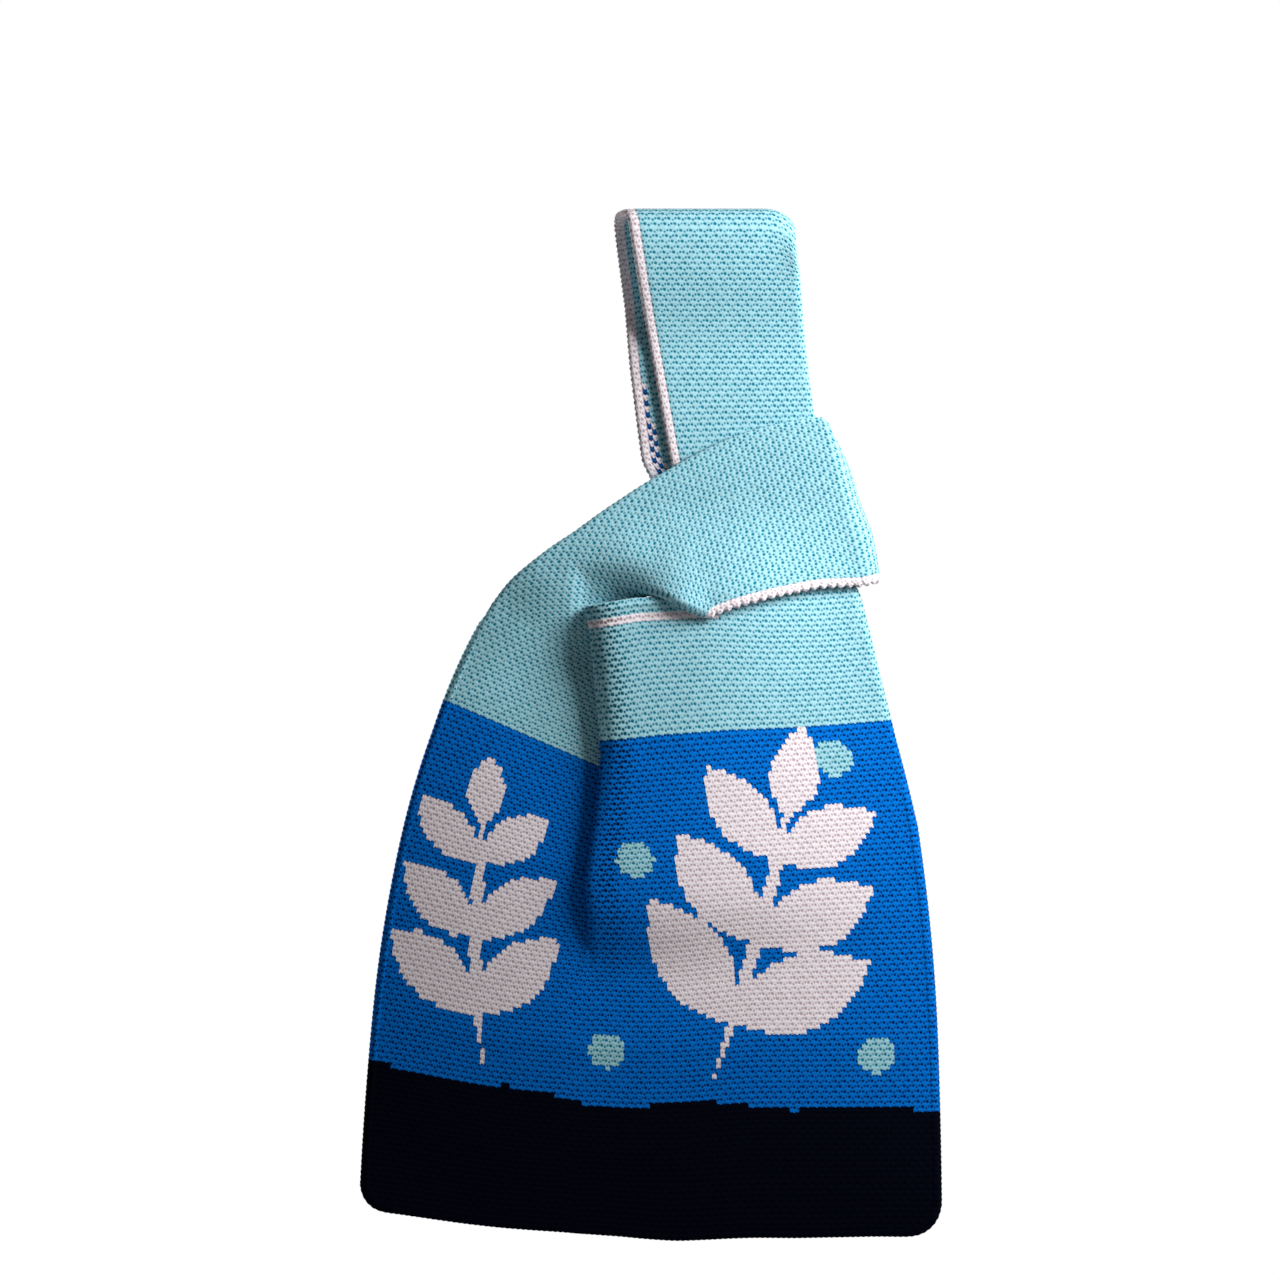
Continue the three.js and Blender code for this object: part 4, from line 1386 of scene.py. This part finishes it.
@dataclass
class ShortHandle:
    """The short handle from the front hem round the long handle to the back hem, with its white edge.

    Its lower border comes up behind the hem, is rolled under where it passes over the hem, and comes
    out as the white edge to the right of that.
    """

    drape: Drape
    columns: int = 58
    edge_columns: int = 12
    lap: float = 1.6
    rows: int = 250
    fold_rows: int = 24
    border: tuple[Place, ...] = (
        (0.08, -37.0, -156.0), (0.15, -40.5, -145.5), (0.22, -40.5, -136.5), (0.29, -36.0, -131.2),
        (0.36, -28.5, -129.8), (0.43, -21.0, -131.0), (0.5, -13.5, -135.2), (0.57, -6.4, -138.6),
        (0.61, -2.0, -138.5), (0.67, 5.6, -135.8), (0.76, 17.0, -132.8), (0.88, 33.0, -129.4))
    corner_rise: float = 1.0
    upper_ease: Stations = ((0, 3.2), (0.07, 2.9), (0.16, 0.8), (0.28, -1.6), (0.43, -2.1), (0.55, -2.0),
                            (0.67, -1.5), (0.81, -0.9), (0.94, -0.4), (1, 0))
    fold_swell: Stations = ((0, 0.5), (0.13, 1.3), (0.3, 1.9), (0.45, 0.9), (0.57, 0.4), (0.72, 0.7),
                            (0.86, 0.8), (0.93, 0.7), (1, -1.0))
    border_reach: int = 8
    rolled: float = 10.0
    roll_radius: float = 1.3
    roll_in: Pair = (0.08, 0.3)
    roll_out: Pair = (0.5, 0.615)
    edge_lift: Stations = ((0.5, 0), (0.6, 0.6), (0.75, 2.0), (0.9, 1.2), (1, 0))
    scallop: float = 3.2
    turns_under: Pair = (0.28, 0.45)
    forward_low: Pair = (0.2, 0.5)
    forward_high: Pair = (0.0, 0.55)
    gives_from: Pair = (-46.0, -146.0)
    gives_to: Pair = (-1.0, -115.0)
    bump: float = 0.2
    edge_bump: float = 1.1
    edge_finer: int = 2
    leg_steps: int = 120
    bend_steps: int = 80
    spread_to: float = 0.16
    swell_steps: int = 101
    swell_reach: int = 9
    front_reach: int = 5
    fold_reach: int = 2

    def _borders(self, share: Array) -> tuple[Array, Array]:
        """Finds the visible borders of the handle from the hem to the fold.

        The upper one follows the panel's edge and then a curve that is quadratic in its way.

        Args:
            share: The share of the way.

        Returns:
            X and Z of the lower border and of the upper one.
        """
        drape = self.drape
        cut = drape.cut
        way = np.linspace(0, 1, self.bend_steps)[:, None]
        leg_up = np.linspace(cut.hem_at, cut.mouth_height + drape.cut_rise, self.leg_steps)
        leg = drape.left_edge.at(leg_up)
        bend = drape.fold_high + drape.high_bend
        over = drape.knot_end * (1 - way) ** 2 + bend * 2 * way * (1 - way) + drape.fold_high * way ** 2
        upper = np.concatenate([leg, over[1:]])
        length = lengths(upper)
        upper = on_line(share * length[-1], length, upper)
        first = drape.left_half(np.array(-cut.neck_half), np.array(cut.hem_at))
        corner = drape.fold_low + (0, self.corner_rise)
        spots = np.array([(0, *first), *self.border, (1, *corner)])
        lower = on_line(share, spots[:, 0], spots[:, 1:])
        run = np.gradient(upper, axis=0)
        outward = unit(np.stack([-run[:, 1], run[:, 0]], axis=-1))
        upper = upper + outward * along(self.upper_ease, share)[:, None]
        return soften(lower, self.border_reach), soften(upper, self.border_reach)

    def _depth(self, spot: Array, share: Array, width: Array) -> Array:
        """Gives the depth of the visible ply, whose lower border stands off by the square of its nearness.

        Args:
            spot: X and Z of its points.
            share: The share of the way, by row and column.
            width: From 0 at the lower border to 1 at the upper.

        Returns:
            Distances from the bag's middle plane.
        """
        drape = self.drape
        cut = drape.cut
        spread = drape.leg_spread * width * smooth(share, 0, self.spread_to)
        across = between(-cut.neck_half, -cut.half - self.upper_ease[0][1], width)
        hollow, roll = drape.gather(spot)
        behind = drape.base_depth(across, np.full_like(width, cut.hem_at)) + spread - hollow
        begin, end = (between(low, high, width) for low, high in zip(self.forward_low, self.forward_high))
        forward = smooth(share, begin, end)
        under = 2 * self.roll_radius * self._rolled(share) / self.rolled
        stands_off = along(self.edge_lift, share)
        front = drape.wrap_depth(spot, width) + (under + stands_off) * (1 - width) ** 2
        return between(behind, front, forward) + roll

    def _rolled(self, share: Array) -> Array:
        """Says how much knit is rolled under at the lower border."""
        return self.rolled * smooth(share, *self.roll_in) * (1 - smooth(share, *self.roll_out))

    def _grid(self, share: Array, low: float, high: float | None, columns: int) -> tuple[Array, Array]:
        """Lays out the handle from the front hem to the fold.

        What is rolled under at the lower border follows a circle by up to half a turn and then runs on.

        Args:
            share: The share of the way of each row.
            low: Where a row starts, from the white edge.
            high: Where it ends, or None for the upper border.
            columns: Columns of points.

        Returns:
            Points by row and column, and how far each lies from the white edge.
        """
        lower, upper = self._borders(share)
        inset = self.drape.cut.fabric / 2
        run = upper - lower
        seen = np.linalg.norm(run, axis=1)
        run = run / seen[:, None]
        hidden = self._rolled(share)
        stop = hidden + seen if high is None else np.full_like(seen, high)
        away = between(low + inset, (stop - inset)[:, None], np.linspace(0, 1, columns))
        beyond = hidden[:, None] - away
        width = np.clip(-beyond / seen[:, None], 0, 1)
        full_turn = np.pi * smooth(share, *self.turns_under)[:, None]
        turned = np.clip(beyond / self.roll_radius, 0, full_turn)
        rest = np.maximum(beyond, 0) - self.roll_radius * turned
        along_run = np.maximum(-beyond, 0) - self.roll_radius * np.sin(turned) - rest * np.cos(full_turn)
        inward = self.roll_radius * (1 - np.cos(turned)) + rest * np.sin(full_turn)
        spot = lower[:, None] + run[:, None] * along_run[..., None]
        on_border = lower[:, None] + run[:, None] * (width * seen[:, None])[..., None]
        depth = self._depth(on_border, np.broadcast_to(share[:, None], width.shape), width)
        return on_ply(spot, depth - inward), away

    def _fold(self, edge: Array, angle: Array, width: Array) -> Array:
        """Lays out the round fold from the front to the middle plane.

        It lies at depth * cos(angle), reaches (depth + swell) * sin(angle) out, and droops at its top.

        Args:
            edge: Points of the front at the fold.
            angle: Radians from the front.
            width: From 0 at the lower border to 1 at the upper, for each column.

        Returns:
            Points by angle and column.
        """
        drape = self.drape
        line = unit(drape.fold_high - drape.fold_low)
        depth = -edge[None, :, 1]
        places = np.linspace(0, 1, self.swell_steps)
        swell = soften(along(self.fold_swell, places)[:, None], self.swell_reach)[:, 0]
        out = (depth + np.interp(width, places, swell)) * np.sin(angle)[:, None]
        x = edge[None, :, 0] + line[1] * out
        z = edge[None, :, 2] - line[0] * out - drape.fold_droop * np.sin(angle)[:, None] ** 2 * width ** 3
        return np.stack([x, -depth * np.cos(angle)[:, None], z], axis=-1)

    def knit(self, low: float, high: float | None, columns: int, bump: float, pitch: float, finer: int,
             thinner: float = 0.0) -> Knit:
        """Lays out the whole handle between two distances from its white edge.

        Its stitches are counted along the column that lies two thirds of the way across.

        Args:
            low: The inner distance.
            high: The outer distance, or None for the upper border.
            columns: Columns of points.
            bump: How far the stitches stand out along its edges.
            pitch: How far apart those bumps are.
            finer: How many times closer the rows lie.
            thinner: How much is off half the thickness.

        Returns:
            The knit.
        """
        cut = self.drape.cut
        share = np.linspace(0, 1, self.rows)
        front, away = self._grid(share, low, high, columns)
        front = soften(front, self.front_reach)
        angle = np.linspace(0, np.pi / 2, self.fold_rows)[1:]
        fold = self._fold(front[-1], angle, away[-1] / cut.handle_width)
        half = np.concatenate([front, fold])
        points = np.concatenate([half, half[-2::-1] * (1, -1, 1)])
        away = np.concatenate([away, np.repeat(away[-1:], len(angle), axis=0)])
        away = np.concatenate([away, away[-2::-1]])
        points = soften(points, self.fold_reach)
        height = cut.hem_at + lengths(points[:, columns * 2 // 3])
        if finer > 1:
            spots = np.linspace(0, len(points) - 1, len(points) * finer)
            points, away, height = (at_rows(grid, spots) for grid in (points, away, height))
        across = -cut.neck_half - away if high else away[:, -1:] - away - cut.half
        up = np.broadcast_to(height[:, None], across.shape)
        half_thick = cut.fabric / 2 - thinner
        return Knit(points[:, ::-1], across[:, ::-1], up, half_thick, height / pitch, bump=bump)

    def build(self, finishes: Finishes) -> list[Piece]:
        """Makes the handle and its edge.

        Args:
            finishes: The bag's finishes.

        Returns:
            The new pieces.
        """
        cut = self.drape.cut
        strap = self.knit(cut.edge_width - self.lap, None, self.columns, self.bump, cut.course, 1)
        cloth = strap.solid("short_handle_knit", Side.FRONT, cut)
        edge = self.knit(0, cut.edge_width + cut.edge_lap, self.edge_columns, self.edge_bump, self.scallop,
                         self.edge_finer, cut.edge_thinner)
        trim = edge.solid("short_handle_white_edge", Side.FRONT, cut)
        legs = [f"short_handle_{side.word}_leg" for side in Side]
        wraps = ["knot_wrap_front", "knot_wrap_back", "knot_wrap_fold"]
        bindings = ["short_handle_front_binding", "short_handle_back_binding", "knot_wrap_binding"]
        dress(cloth, finishes.teal, "teal_knit", None, *legs, *wraps)
        dress(trim, finishes.white, "white_edge", None, *bindings)
        for piece in (cloth, trim):
            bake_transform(piece)
        return [cloth, trim]


@dataclass
class Seams:
    """The linked seams of both sides and of the bottom."""

    drape: Drape
    depth: float = 3.1
    reach: float = 2.5
    inset: float = 1.8
    bump: float = 0.22
    runs_out: float = 0.5
    run_out: float = 9.0
    beyond_hem: float = 14.0
    row_step: float = 0.45
    around: int = 12
    middle_half: float = 1.0
    bottom_reach: int = 12

    def tube(self, name: str, path: Array, across: Array, height: Array, top: float) -> Piece:
        """Makes a bead along a path in the bag's middle plane, swelling as a half wave over each stitch.

        Args:
            name: The piece's name.
            path: X and Z of its points.
            across: How far across the knit each lies.
            height: How high each lies.
            top: The height at which the bead has thinned out.

        Returns:
            The new object.
        """
        cut = self.drape.cut
        run = unit(np.gradient(path, axis=0))
        out = np.stack([-run[:, 1], run[:, 0]], axis=-1)
        stitches = lengths(path) / cut.course
        swell = 1 + self.bump / self.reach * (np.abs(np.sin(np.pi * stitches)) - 0.5)
        swell *= 1 - self.runs_out * smooth(height, top - self.run_out, top)
        angle = np.linspace(0, 2 * np.pi, self.around, endpoint=False)
        sideways = self.reach * np.outer(swell, np.cos(angle))
        y = self.depth * np.outer(swell, np.sin(angle))
        flat = path[:, None] + out[:, None] * sideways[..., None]
        points = np.stack([flat[..., 0], y, flat[..., 1]], axis=-1)
        rows, count = points.shape[:2]
        here, after, above_after, above = ring_corners(rows, count)
        sides = np.stack([here, above, above_after, after], axis=-1)
        caps = [list(range(count)), list(range(rows * count - 1, (rows - 1) * count - 1, -1))]
        stitch = np.stack([(across[:, None] + cut.half + sideways) / cut.wale,
                           np.broadcast_to(height[:, None], sideways.shape) / cut.course], axis=-1)
        maps = {"stitch": stitch.reshape(-1, 2), "lay": np.zeros((rows * count, 2))}
        return make_mesh(name, points.reshape(-1, 3), sides.tolist() + caps, Side.FRONT, maps)

    def build(self, finishes: Finishes) -> list[Piece]:
        """Makes the three seams.

        Args:
            finishes: The bag's finishes.

        Returns:
            The new pieces.
        """
        drape = self.drape
        cut = drape.cut
        pieces = []
        right_top = cut.hem_at + self.beyond_hem
        for word, sign, ply, ease, corner, top in (
                ("left", -1, drape.left_ply, drape.left_ease, cut.left_corner, cut.hem_at),
                ("right", 1, drape.right_ply, drape.right_ease, cut.right_corner, right_top)):
            up = np.linspace(corner, top, round(cut.hem_at / self.row_step))
            across = sign * (cut.half - self.inset + along(ease, up / cut.mouth_height))
            path = ply(across, up)
            path[:, 1] -= drape.sag(across, up)
            bead = self.tube(word + "_side_bead", path[::-sign], across[::-sign], up[::-sign], top)
            dress(bead, finishes.bands, "blue_seam", "bag_body", word + "_side_seam")
            pieces.append(bead)
        bottom = self._bottom()
        dress(bottom, finishes.bands, "navy_seam", "bag_body", "bottom_seam")
        return [*pieces, bottom]

    def _bottom(self) -> Piece:
        """Makes the bottom seam with its rounded corners, from right to left.

        Returns:
            The new object.
        """
        drape = self.drape
        cut = drape.cut
        turns = []
        for radius, ease in ((cut.left_corner, drape.left_ease), (cut.right_corner, drape.right_ease)):
            angle = np.linspace(0, np.pi / 2, round(radius * np.pi / 2 / self.row_step))
            reach = cut.half - radius * (1 - np.sin(angle)) + ease[0][1]
            turns.append((reach, radius * (1 - np.cos(angle))))
        (left, left_up), (right, right_up) = turns
        count = round((right[0] + left[0]) / self.row_step)
        level = np.linspace(right[0], -left[0], count)[1:-1]
        across = np.concatenate([right[::-1], level, -left])
        height = np.concatenate([right_up[::-1], np.zeros(len(level)), left_up])
        middle = drape.pleat(height)["inner"]
        share = smooth(across, middle - self.middle_half, middle + self.middle_half)
        path = between(drape.left_ply(across, height), drape.right_ply(across, height), share[:, None])
        path[:, 1] -= drape.sag(across, height)
        path = soften(path, self.bottom_reach)
        run = np.gradient(path, axis=0)
        inward = unit(np.stack([run[:, 1], -run[:, 0]], axis=-1))
        return self.tube("bottom_bead", path + inward * self.inset, across, height, cut.hem_at)


def dress(piece: Piece, finish: bpy.types.Material, slot: str, body: str | None, *nodes: str) -> None:
    """Gives a piece its finish and its place in the frame.

    Args:
        piece: The piece.
        finish: Its material.
        slot: The record's material slot; not used.
        body: The body that it rides on, or None for a piece that spans two, which is then left on no body.
        nodes: The solids that it stands for.
    """
    piece.data.materials.append(finish)
    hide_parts(*nodes)
    if body:
        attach(piece, body)


@dataclass
class Studio:
    """The camera, the light and the floor."""

    frame_width: float = 448.0
    middle: Pair = (-28.7, -148.0)
    distance: float = 1600.0
    sensor: float = 36.0
    floor_drop: float = 400.0
    floor_half: float = 40.0
    floor_tone: float = 0.9
    floor_roughness: float = 0.9
    far: float = 200.0
    ambient: float = 0.09
    key_power: float = 2.85
    key_place: Place = (0.28, -0.2, 0.06)
    key_size: float = 0.2
    back_power: float = 6.0
    back_place: Place = (-0.36, 0.5, 0.1)
    back_size: float = 0.4

    def build(self) -> None:
        """Makes all of it."""
        scene = bpy.context.scene
        scene.view_settings.view_transform = "Standard"
        self._camera(scene)
        self._lamp("key", self.key_place, self.key_size, self.key_power)
        self._lamp("back", self.back_place, self.back_size, self.back_power)
        self._world(scene)
        self._floor()

    def _camera(self, scene: bpy.types.Scene) -> None:
        """Makes the camera, level and square to the bag.

        Args:
            scene: The scene.
        """
        lens = bpy.data.cameras.new("camera")
        lens.sensor_width = self.sensor
        lens.lens = self.sensor * self.distance / self.frame_width
        lens.clip_end = self.far
        camera = bpy.data.objects.new("camera", lens)
        camera.location = Vector((self.middle[0], -self.distance, self.middle[1])) * MM
        camera.rotation_euler = (np.pi / 2, 0, 0)
        scene.collection.objects.link(camera)
        scene.camera = camera

    def _lamp(self, name: str, place: Place, size: float, power: float) -> None:
        """Makes a soft square lamp that faces the bag.

        Args:
            name: The lamp's name.
            place: Where it stands, in metres.
            size: Its side, in metres.
            power: Its power in watts.
        """
        light = bpy.data.lights.new(name, "AREA")
        light.size = size
        light.energy = power
        lamp = bpy.data.objects.new(name, light)
        lamp.location = place
        lamp.visible_camera = False
        target = Vector((self.middle[0], 0, self.middle[1])) * MM
        lamp.rotation_euler = (target - lamp.location).to_track_quat("-Z", "Y").to_euler()
        bpy.context.scene.collection.objects.link(lamp)

    def _world(self, scene: bpy.types.Scene) -> None:
        """Makes the even light from all round, which the camera sees as white.

        Args:
            scene: The scene.
        """
        world = bpy.data.worlds.new("studio")
        world.use_nodes = True
        graph = Graph(world.node_tree)
        seen = graph.node("ShaderNodeLightPath").outputs["Is Camera Ray"]
        strength = graph.math("MULTIPLY_ADD", seen, 1.0 - self.ambient, self.ambient)
        graph.fill(graph.tree.nodes["Background"], {"Color": (1, 1, 1, 1), "Strength": strength})
        scene.world = world

    def _floor(self) -> None:
        """Makes the pale floor, with enough light of its own to look white outside the shadow."""
        half = self.floor_half
        level = CAD_BOX[0].z - self.floor_drop * MM
        corners = [(-half, -half, level), (half, -half, level), (half, half, level), (-half, half, level)]
        mesh = bpy.data.meshes.new("floor")
        mesh.from_pydata(corners, [], [(0, 1, 2, 3)])
        floor = bpy.data.objects.new("floor", mesh)
        bpy.context.scene.collection.objects.link(floor)
        material = bpy.data.materials.new("floor")
        material.use_nodes = True
        graph = Graph(material.node_tree)
        seen = graph.node("ShaderNodeLightPath").outputs["Is Camera Ray"]
        glow = graph.math("MULTIPLY", seen, 1.0 - self.floor_tone * self.ambient)
        graph.fill(graph.tree.nodes["Principled BSDF"], {
            "Base Color": (*[self.floor_tone] * 3, 1), "Roughness": self.floor_roughness,
            "Specular IOR Level": 0.0, "Emission Color": (1, 1, 1, 1), "Emission Strength": glow})
        mesh.materials.append(material)


def main() -> None:
    """Builds the bag and its studio, and notes each piece's count of faces."""
    logging.basicConfig(level=logging.INFO, format="%(message)s")
    drape = Drape()
    Studio().build()
    finishes = Finishes(drape.cut)
    for part in (LongHandle(drape), ShortHandle(drape), Panels(drape), Seams(drape)):
        for piece in part.build(finishes):
            LOG.info("%s: %d faces", piece.name, len(piece.data.polygons))


if __name__ == "__main__":
    main()
